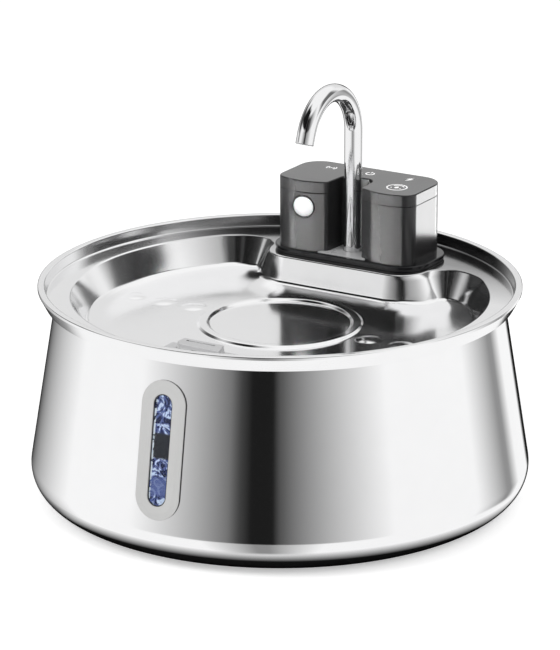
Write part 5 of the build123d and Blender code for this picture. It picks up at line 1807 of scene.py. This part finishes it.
    def _hem(self, skin: Skin, loop: Line) -> None:
        """Closes the sheet's edge round an opening.

        Args:
            skin: the tray.
            loop: the opening's outline.
        """
        middle = Vector((sum(p[0] for p in loop), sum(p[1] for p in loop))) / len(loop)
        tops, lows = ([place(*p)[0] for p in loop] for place in (self.surface, self._underside))
        inward = [(*(middle - Vector(p)).normalized(), 0.0) for p in loop]
        skin.bridge(tops, lows, inward)


def drain_trace(half: float, back: float, radius: float, corner: float) -> Trace:
    """Outline of the drain: a strip of the pool floor with a curved front.

    Args:
        half: half width.
        back: y of the straight back edge.
        radius: radius of the front edge about the tray's centre.
        corner: radius of its corners.

    Returns:
        The closed line, drawn anticlockwise.
    """
    reach = math.asin(half / radius)
    front = [
        (radius * math.sin(reach * k / 12), -radius * math.cos(reach * k / 12))
        for k in range(-12, 13)
    ]
    corners = [(x, y, corner if k in (0, 24) else 0.0) for k, (x, y) in enumerate(front)]
    return Trace([*corners, (half, back, corner), (-half, back, corner)], closed=True, step=15.0)


@dataclass
class FilterCover:
    """The cover of the filter cartridge, with its grip."""

    wardrobe: Wardrobe
    half: float = 28.4
    back: float = -58.6
    radius: float = 86.4
    low: float = 90.9
    high: float = 92.5
    edge: float = 0.9
    slot_size: Vec2 = (2.0, 9.0)
    slot_rows: tuple[float, ...] = (-65.0, -69.0, -73.0, -77.0)
    grip_width: float = 19.5
    grip_depth: float = 9.5
    grip_top: float = 102.6
    grip_y: float = -80.5
    grip_flare: float = 1.5
    grip_corners: tuple[float, float, float] = (0.6, 6.4, 3.4)
    groove: float = 1.1
    groove_x: float = 1.5
    groove_length: float = 17.0
    dot: float = 0.6
    front_slot_shade: Vec3 = (0.0, 9.0, 100.3)

    def build(self) -> None:
        """Makes the plate with its slots, and the grip on it."""
        skin = Skin()
        plan = Plan.outline(drain_trace(self.half, self.back, self.radius, 1.5))
        border = [(0.0, self.low), (0.0, self.high, 0.6), (-self.edge, self.high)]
        skin.sweep(plan, Trace(border))
        slots = self._slots()
        for inset, level, normal in ((self.edge, self.high, UP), (0.0, self.low, DOWN)):
            outline = plan.grown(-inset)
            skin.plate([outline, *slots], [], within(outline, slots), flat(level, normal))
        for slot in slots:
            cx = sum(p[0] for p in slot) / len(slot)
            cy = sum(p[1] for p in slot) / len(slot)
            inward = [(*(Vector((cx - x, cy - y)).normalized()), 0.0) for x, y in slot]
            skin.bridge(raised(slot, self.high), raised(slot, self.low), inward)
        cover = skin.build("filter_lid")
        self.wardrobe.dress(cover, "filter_cartridge", "cover_grey", ["filter_cover"])
        grip = self._grip().build("filter_grip")
        grip.visible_glossy = False
        self.wardrobe.dress(grip, "filter_cartridge", "cover_grey")
        marks = self._grip_marks().build("grip_marks")
        self.wardrobe.dress(marks, "filter_cartridge", "black_silicone")

    def _slots(self) -> list[list[Vec2]]:
        """The water slots on both sides of the grip.

        Returns:
            Their outlines.
        """
        middle = (self.grip_width / 2 + 26.0) / 2
        line = [point for point, _ in stadium(*self.slot_size, 20.0).walk(3.0)]
        return [
            [(side + v, y + u) for u, v in line]
            for side in (-middle, middle)
            for y in self.slot_rows
        ]

    def _grip_marks(self) -> Skin:
        """The dark dot at the groove's end, and a black slab that paints the shade inside the slot
        in the grip's front.

        Returns:
            The piece.
        """
        skin = Skin()
        x = self.groove_x - self.groove_length / 2 + self.dot
        dot = circle_line(x, self._groove_y(), self.dot, 20)
        skin.slab(dot, self.grip_top - 0.2, self.grip_top + 0.04)
        # painted shade: a thin black slab stands for the slot's shaded inside
        left, right, level = self.front_slot_shade
        bend = self.grip_top - self.grip_flare
        drop = (bend - level) / (bend - self.high)
        face = self.grip_y - self.grip_depth / 2 - self.grip_flare * drop
        near, far = face - 0.05, face + 0.4
        slot = [(left, near), (right, near), (right, far), (left, far)]
        skin.slab(slot, level - 0.2, level + 0.2)
        return skin

    def _groove_y(self) -> float:
        """Where the groove runs across the grip's top."""
        return self.grip_y + self.grip_depth / 6

    def _grip(self) -> Skin:
        """The block that a finger and a thumb hold.

        Returns:
            The piece.
        """
        skin = Skin()
        half, front = self.grip_width / 2, self.grip_y - self.grip_depth / 2
        back = self.grip_y + self.grip_depth / 2
        left, right_front, right_back = self.grip_corners
        spots = (
            (-half / 1.5 - left, front),
            (half + right_front, front),
            (half + right_back, back),
            (-half - left, back),
            (-half - left, front + self.grip_depth / 3),
        )
        corners = [(x, y, 1.0) for x, y in spots]
        plan = Plan.outline(Trace(corners, closed=True, step=15.0))
        profile = [
            (self.grip_flare, self.high - 0.4),
            (0.0, self.grip_top - self.grip_flare, 2.0),
            (0.0, self.grip_top, 0.5),
            (-self.edge, self.grip_top),
        ]
        skin.sweep(plan, Trace(profile))
        outline = plan.grown(-self.edge)
        middle = self._groove_y()
        bar = stadium(self.groove, self.groove_length, 30.0).walk(6.0)
        groove = [(self.groove_x + v, middle + u) for (u, v), _ in bar]
        top, low = self.grip_top, self.grip_top - self.groove
        skin.plate([outline, groove], [], within(outline, [groove]), flat(top, UP))
        inward = [(*(Vector((-x * 0.2, middle - y)).normalized()), 0.0) for x, y in groove]
        skin.bridge(raised(groove, top), raised(groove, low), inward)
        skin.cap([skin.add(point) for point in raised(groove, low)], UP)
        return skin


# ----------------------------------------------------------- pump unit ----


@dataclass
class PumpHousing:
    """The two-lobed housing with its lid, its sensor and the signs on it."""

    wardrobe: Wardrobe
    half: float = 41.2
    front: float = 61.7
    back: float = 102.5
    plate_top: float = 110.6
    seam: float = 142.6
    top: float = 149.0
    lobe_crown: float = 24.5
    mouth_half: float = 10.4
    mouth_y: float = 65.2
    slot_half: float = 9.2
    slot_back: float = 82.9
    tube_y: float = 75.2
    tube_radius: float = 4.8
    sensor_x: float = -22.9
    sensor_y: float = 62.2
    sensor_height: float = 134.7
    sensor_turn: float = math.radians(6.0)
    sensor_radii: Vec2 = (5.7, 6.6)
    sensor_rise: float = 1.75
    bezel_rise: float = 0.45
    floor_half: float = 15.5
    floor_rise: Vec2 = (0.01, 0.35)
    mark_line: float = 0.75
    mark_rise: Vec2 = (-0.05, 0.06)
    waves: Vec2 = (-22.8, 91.8)
    power: Vec2 = (0.8, 92.1)
    charge: Vec2 = (24.5, 92.9)
    drop: Vec2 = (26.1, 76.1)

    def outline(self) -> Trace:
        """Plan of the housing.

        Returns:
            The closed line, drawn anticlockwise.
        """
        right = [
            (self.slot_half, self.slot_back, 5.0),
            (self.mouth_half, self.mouth_y + 0.4, 2.4),
            (self.lobe_crown, self.front - 1.4, 26.0),
            (self.half, self.front + 3.3, 7.5),
            (self.half, self.back, 12.0),
        ]
        left = [(-x, y, r) for x, y, r in reversed(right)]
        return Trace([*right, *left], closed=True, step=4.0)

    def build(self) -> None:
        """Makes the shell, the lid, the sensor, the slot's floor and the signs."""
        plan = Plan.outline(self.outline(), 2.0)
        low, high, inner = self.plate_top + 0.05, self.seam - 0.12, -1.8
        walls = [(0.0, low), (0.0, high, 0.25), (inner, high), (inner, low)]
        skin = Skin()
        skin.sweep(plan, Trace(walls, closed=True))
        shell = skin.build("housing_body")
        self.wardrobe.dress(shell, "pump_unit", "housing_grey", ["housing_shell"])
        low, high = self.seam + 0.02, self.top
        cover = [(-2.2, low), (0.0, low, 0.25), (0.0, high, 0.7), (-1.2, high)]
        skin = Skin()
        rows = skin.sweep(plan, Trace(cover))
        skin.cap(rows[-1], UP)
        skin.cap(rows[0], DOWN)
        lid = skin.build("housing_top")
        self.wardrobe.dress(lid, "pump_unit", "housing_grey", ["housing_lid"])
        black = self.wardrobe.materials["flange_black"]
        frame["nodes"]["housing_base"].data.materials[0] = black
        self._sensor()
        self._slot_floor()
        self._marks()
        self._boxes([shell, lid])

    def _boxes(self, pieces: Sequence[Piece]) -> None:
        """Soft boxes that light only the housing, for its gloss.

        Args:
            pieces: the objects that they light.
        """
        lit = bpy.data.collections.new("housing_gloss")
        for piece in pieces:
            lit.objects.link(piece)
        for box in HOUSING_BOXES:
            lamp = box.build()
            lamp.light_linking.receiver_collection = lit

    def _sensor(self) -> None:
        """The milky dome in its dark ring, drawn about its own axis."""
        turn = self.sensor_turn
        out = Vector((math.sin(turn), -math.cos(turn), 0.0))
        side = Vector((math.cos(turn), math.sin(turn), 0.0))
        place = Matrix((side, Vector((0.0, 0.0, 1.0)), out)).transposed().to_4x4()
        place.translation = (self.sensor_x, self.sensor_y, self.sensor_height)
        glass, ring = self.sensor_radii
        plan = Plan.circle(96)
        rise, bore, back = self.bezel_rise, glass + 0.1, -4.0
        wall = [(ring, back), (ring, rise, 0.3), (bore, rise, 0.25), (bore, back)]
        skin = Skin()
        skin.sweep(plan, Trace(wall, closed=True, step=15.0))
        bezel = skin.build("sensor_ring", place)
        bodies = ["sensor_bezel"]
        self.wardrobe.dress(bezel, "pump_unit", "housing_grey", bodies, "sensor_ring")
        rise, back = self.sensor_rise, -3.4
        milk = [(0.0, rise), (glass - 1.9, rise, 5.0), (glass, 0.0), (glass, back), (0.0, back)]
        skin = Skin()
        skin.sweep(plan, Trace(milk, step=5.0))
        dome = skin.build("sensor_dome", place)
        self.wardrobe.dress(dome, "pump_unit", "sensor_white", ["sensor_lens"])

    def _slot_floor(self) -> None:
        """The bright plate round the faucet, between the lobes."""
        right = [
            (self.floor_half, self.front + 0.6, 0.8),
            (self.slot_half + 0.8, self.mouth_y + 2.5, 2.0),
            (self.slot_half - 0.2, self.slot_back - 0.2, 4.0),
        ]
        left = [(-x, y, r) for x, y, r in reversed(right)]
        outline = [p for p, _ in Trace([*right, *left], closed=True).walk(2.0)]
        hole = circle_line(0.0, self.tube_y, self.tube_radius + 0.25)
        skin = Skin()
        low, high = (self.plate_top + rise for rise in self.floor_rise)
        skin.slab(outline, low, high, [hole])
        plate = skin.build("slot_floor")
        self.wardrobe.dress(plate, "pump_unit", "housing_grey", finish="slot_floor")

    def _marks(self) -> None:
        """Raised signs on the lid: waves, power, charge, and a drop in a ring."""
        low, high = (self.top + rise for rise in self.mark_rise)
        line = self.mark_line
        skin = Skin()
        x, y = self.waves
        skin.slab(circle_line(x, y, 0.5), low, high)
        for radius in (1.7, 3.1):
            for middle in (0.0, 180.0):
                skin.slab(arc_band(x, y, radius, line, middle - 42.0, middle + 42.0), low, high)
        x, y = self.power
        skin.slab(arc_band(x, y, 2.6, line, 125.0, 415.0), low, high)
        bar = ((-line / 2, 0.8), (line / 2, 0.8), (line / 2, 3.2), (-line / 2, 3.2))
        skin.slab([(x + u, y + v) for u, v in bar], low, high)
        x, y = self.charge
        skin.slab([(x + 1.6 * u, y + 1.6 * v) for u, v in BOLT], low, high)
        x, y = self.drop
        skin.slab(circle_line(x, y, 5.7), low, high, [circle_line(x, y, 5.7 - line)])
        skin.slab(arc_band(x, y, 4.1, line, 35.0, 145.0), low, high)
        skin.slab([(x + 1.2 * u, y - 0.6 + 1.2 * v) for u, v in DROP], low, high)
        for side in (-2.7, 2.7):
            skin.slab(circle_line(x + side, y - 1.5, 0.45), low, high)
        signs = skin.build("lid_signs")
        self.wardrobe.dress(signs, "pump_unit", "light_white", finish="lid_signs")


BOLT: tuple[Vec2, ...] = (
    (0.1, 0.4),
    (0.6, 2.2),
    (-1.3, -0.3),
    (-0.1, -0.3),
    (-0.6, -2.2),
    (1.3, 0.4),
)
DROP: tuple[Vec2, ...] = (
    (0.0, 2.0),
    *((math.cos(math.radians(a)), math.sin(math.radians(a))) for a in range(150, 391, 20)),
)


def arc_band(
    x: float, y: float, radius: float, width: float, first: float, last: float
) -> list[Vec2]:
    """Outline of a band along an arc.

    Args:
        x: the arc's centre.
        y: the arc's centre.
        radius: of the band's outer edge.
        width: of the band.
        first: angle where it starts, in degrees.
        last: angle where it ends.

    Returns:
        The closed line, drawn anticlockwise.
    """
    turns = [math.radians(first + (last - first) * k / 24) for k in range(25)]
    return arc(x, y, radius, turns) + arc(x, y, radius - width, turns[::-1])


TubeRing = tuple[Vector, Vector, float, float]  # middle, direction, radius, normal's turn


@dataclass
class Faucet:
    """The bent chrome tube that water comes out of."""

    wardrobe: Wardrobe
    radius: float = 4.8
    wall: float = 0.8
    y: float = 75.2
    low: float = 100.8
    spring: float = 176.8
    bend: float = 25.2
    tilt: float = math.radians(20.0)
    straight: float = 4.9
    lip: float = 0.35
    around: int = 64
    bend_steps: int = 60

    def build(self) -> None:
        """Makes the tube with its bore and a softly rounded outlet."""
        path = self._path()
        rings: list[TubeRing] = [(c, t, self.radius, 0.0) for c, t in path]
        end, way = path[-1]
        for k in range(1, 6):
            a = math.pi / 2 * k / 5
            radius = self.radius - self.lip * (1 - math.cos(a))
            rings.append((end + way * self.lip * math.sin(a), way, radius, a))
        face = rings[-1][0]
        bore = self.radius - self.wall
        rings.append((face, way, bore + 0.1, math.pi / 2))
        rings.append((face - way * 0.15, way, bore, math.pi))
        rings += [(c, t, bore, math.pi) for c, t in reversed(path)]
        skin = Skin()
        for a, b in zip(rings, rings[1:]):
            self._ring(skin, a, b)
        self._ring(skin, rings[-1], rings[0], Vector(DOWN))
        self.wardrobe.dress(skin.build("gooseneck"), "faucet", "faucet_chrome", ["faucet_tube"])

    def _path(self) -> list[tuple[Vector, Vector]]:
        """The tube's centre line.

        Returns:
            Points and directions, from the socket to the outlet.
        """
        path = [
            (Vector((0.0, self.y, z)), Vector((0.0, 0.0, 1.0)))
            for z in (self.low, (self.low + self.spring) / 2, self.spring)
        ]
        sweep = math.pi - self.tilt
        for k in range(1, self.bend_steps + 1):
            a = sweep * k / self.bend_steps
            y = self.y - self.bend * (1 - math.cos(a))
            spot = Vector((0.0, y, self.spring + self.bend * math.sin(a)))
            path.append((spot, Vector((0.0, -math.sin(a), math.cos(a)))))
        spot, way = path[-1]
        path.append((spot + way * self.straight, way))
        return path

    def _ring(
        self, skin: Skin, a: TubeRing, b: TubeRing, facing: Optional[Vector] = None
    ) -> None:
        """Joins two rings of the tube.

        Args:
            skin: the tube.
            a: the one ring.
            b: the other.
            facing: the normal, where the rings' own don't hold.
        """
        side = Vector((1.0, 0.0, 0.0))

        def spot(ring: TubeRing, k: int) -> tuple[int, Vec3]:
            """A point of a ring, with its normal.

            Args:
                ring: the ring.
                k: which point it is.

            Returns:
                The point's number and the normal.
            """
            centre, way, radius, turn = ring
            angle = FULL_TURN * (k % self.around) / self.around
            out = side * math.cos(angle) + way.cross(side) * math.sin(angle)
            normal = facing or (out * math.cos(turn) + way * math.sin(turn))
            return skin.add(centre + out * radius), tuple(normal)

        for k in range(self.around):
            ends = (spot(a, k), spot(a, k + 1), spot(b, k + 1), spot(b, k))
            skin.face([e[0] for e in ends], [e[1] for e in ends])


# ---------------------------------------------------------------- studio ----


@dataclass(frozen=True)
class Flag:
    """A dark screen in the light tent, by the directions that it covers.

    Azimuths run from the front toward +X, elevations up from the horizon, both
    in degrees. Beyond its core it fades over a feather on each side.
    """

    azimuth: float
    core: float
    feathers: Vec2
    level: float
    low: float
    high: float
    fades: Vec2


FLAGS = (
    Flag(22.5, 9.5, (52.0, 51.0), 0.1, -12.0, 14.0, (3.0, 12.0)),
    Flag(23.0, 5.0, (10.0, 3.5), 0.12, -12.0, 50.0, (3.0, 10.0)),
    Flag(23.0, 3.0, (25.0, 25.0), 0.28, -45.0, -15.0, (8.0, 3.0)),
    Flag(31.0, 16.0, (40.0, 50.0), 0.05, 24.0, 48.0, (8.0, 12.0)),
    Flag(158.0, 2.0, (25.0, 10.0), 0.3, -22.0, 5.0, (4.0, 5.0)),
    Flag(131.0, 12.0, (14.0, 12.0), 0.16, 11.0, 32.0, (5.0, 10.0)),
    Flag(-87.0, 16.0, (20.0, 25.0), 0.08, 10.0, 36.0, (5.0, 10.0)),
    Flag(-31.0, 34.0, (20.0, 20.0), 0.01, 32.0, 66.0, (4.0, 8.0)),
    Flag(-153.0, 15.0, (5.0, 58.0), 0.01, -32.0, 6.0, (6.0, 7.0)),
    Flag(-149.0, 30.0, (30.0, 30.0), 0.8, 10.0, 30.0, (6.0, 8.0)),
)


class Tent(Wires):
    """The light tent round the object: white, with dark flags hung in it."""

    def __init__(self, tree: Nodes) -> None:
        """Finds the direction of view in the world's nodes.

        Args:
            tree: the world's node tree.
        """
        super().__init__(tree)
        x, y, z = self.axes("Generated")
        self.azimuth = self.math("DEGREES", self.math("ARCTAN2", x, self.times(y, -1.0)))
        self.elevation = self.math("DEGREES", self.math("ARCSINE", z))

    def level(self, flags: Sequence[Flag]) -> Socket:
        """The tent's brightness in each direction.

        Args:
            flags: the screens that hang in it.

        Returns:
            An output that is 1 for white.
        """
        light: Feed = 1.0
        for flag in flags:
            shade = self.times(self._mask(flag), flag.level - 1.0)
            light = self.times(light, self.math("ADD", shade, 1.0))
        return light

    def _mask(self, flag: Flag) -> Socket:
        """How much a flag covers each direction, from 0 to 1.

        Args:
            flag: the flag.

        Returns:
            The mask.
        """
        away = self.math("SUBTRACT", self.azimuth, flag.azimuth)
        aside = self.math("WRAP", away, 180.0, -180.0)
        left, right = flag.feathers
        below, above = flag.fades
        borders = (
            (aside, -flag.core - left, -flag.core),
            (aside, flag.core + right, flag.core),
            (self.elevation, flag.low - below, flag.low),
            (self.elevation, flag.high + above, flag.high),
        )
        mask, *others = [self.ramp(*border) for border in borders]
        for other in others:
            mask = self.times(mask, other)
        return mask


STUDIO_BOXES = (
    SoftBox("key", (-900.0, -1300.0, 1200.0), (0.0, 0.0, 89.7), 900.0, 900.0, 12.0, mirrored=False),
    SoftBox("fill", (1300.0, -700.0, 1100.0), (0.0, 0.0, 89.7), 800.0, 800.0, 8.0, mirrored=False),
)


@dataclass
class Studio:
    """The floor, the light and the camera."""

    wardrobe: Wardrobe
    azimuth: float = math.radians(31.0)
    elevation: float = math.radians(18.11)
    distance: float = 1800.0
    target: float = 89.7
    lens: float = 192.6
    sensor: float = 36.0
    far_clip: float = 50.0
    ambient: float = 0.6
    floor_half: float = 6000.0
    floor_glow: float = 0.45
    contact_shadow_radii: Vec3 = (60.0, 120.5, 136.0)
    contact_shadow_shift: Vec2 = (3.3, -7.4)
    contact_shadow_height: float = 0.1

    def build(self) -> None:
        """Sets up everything that isn't part of the object."""
        self._camera()
        self._world()
        self._floor()
        self._painted_contact_shadow()
        for box in STUDIO_BOXES:
            box.build()
        bpy.context.scene.view_settings.view_transform = "Standard"

    def _painted_contact_shadow(self) -> None:
        """A painted contact shadow: a dark ring of floor round the foot that only gloss sees, as
        the steel above mirrors it.
        """
        inner, full, outer = self.contact_shadow_radii
        height = self.contact_shadow_height
        skin = Skin()
        # painted shadow: the dark ring stands for the floor's contact shadow
        skin.sweep(Plan.circle(96), Trace([(outer, height), (inner, height)]))
        ring = skin.build("contact_ring")
        paint = Paint("contact_ring", self.wardrobe.effects)
        far = paint.node("VectorMath")
        far.operation = "LENGTH"
        paint.feed(paint.place(), far.inputs[0])
        paint.apply(
            Base_Color=(0.01, 0.01, 0.01, 1.0),
            Roughness=0.9,
            Specular_IOR_Level=0.0,
            Alpha=paint.ramp(far.outputs["Value"], outer * MM, full * MM),
        )
        ring.data.materials.append(paint.material)
        x, y = self.contact_shadow_shift
        ring.location = (x * MM, y * MM, 0.0)
        ring.visible_camera = False
        ring.visible_diffuse = False
        ring.visible_transmission = False
        ring.visible_shadow = False

    def _camera(self) -> None:
        """Puts the camera at its place and aims it."""
        data = bpy.data.cameras.new("camera")
        data.lens = self.lens
        data.sensor_width = self.sensor
        data.clip_end = self.far_clip
        camera = add_object("camera", data)
        level = math.cos(self.elevation)
        back = Vector(
            (
                math.sin(self.azimuth) * level,
                -math.cos(self.azimuth) * level,
                math.sin(self.elevation),
            )
        )
        camera.location = (Vector((0.0, 0.0, self.target)) + back * self.distance) * MM
        camera.rotation_euler = (-back).to_track_quat("-Z", "Y").to_euler()
        bpy.context.scene.camera = camera

    def _world(self) -> None:
        """White for the camera, a tent with dark flags for gloss, soft light for the rest."""
        world = bpy.data.worlds.new("studio")
        bpy.context.scene.world = world
        world.use_nodes = True
        tent = Tent(world.node_tree)
        path = tent.node("LightPath").outputs
        gloss = tent.math("MAXIMUM", path["Is Glossy Ray"], path["Is Transmission Ray"])
        rest = tent.times(tent.math("SUBTRACT", 1.0, gloss), self.ambient)
        seen = tent.math("MULTIPLY_ADD", gloss, tent.level(FLAGS), rest)
        tent.fill(
            world.node_tree.nodes["Background"],
            Color=(1.0, 1.0, 1.0, 1.0),
            Strength=tent.math("MAXIMUM", path["Is Camera Ray"], seen),
        )

    def _floor(self) -> None:
        """A large pale floor that keeps the object's shadow."""
        mesh = bpy.data.meshes.new("floor")
        r = self.floor_half * MM
        mesh.from_pydata([(-r, -r, 0), (r, -r, 0), (r, r, 0), (-r, r, 0)], [], [(0, 1, 2, 3)])
        floor = add_object("floor", mesh)
        floor.visible_glossy = False
        paint = Paint("floor", self.wardrobe.effects)
        path = paint.node("LightPath").outputs
        seen = paint.math("MAXIMUM", path["Is Camera Ray"], path["Is Transmission Ray"])
        paint.apply(
            Base_Color=(0.9, 0.9, 0.9, 1.0),
            Roughness=0.9,
            Specular_IOR_Level=0.0,
            Emission_Color=(1.0, 1.0, 1.0, 1.0),
            Emission_Strength=paint.times(seen, self.floor_glow),
        )
        mesh.materials.append(paint.material)


def main() -> None:
    """Builds the scene, one sub-assembly after the other."""
    logging.basicConfig(level=logging.INFO, format="%(name)s %(message)s")
    wardrobe = Wardrobe()
    Studio(wardrobe).build()
    wardrobe.dress_frame()
    for part in (
        Tank(wardrobe),
        DrinkingTray(wardrobe),
        FilterCover(wardrobe),
        PumpHousing(wardrobe),
        Faucet(wardrobe),
    ):
        part.build()


if __name__ == "__main__":
    main()
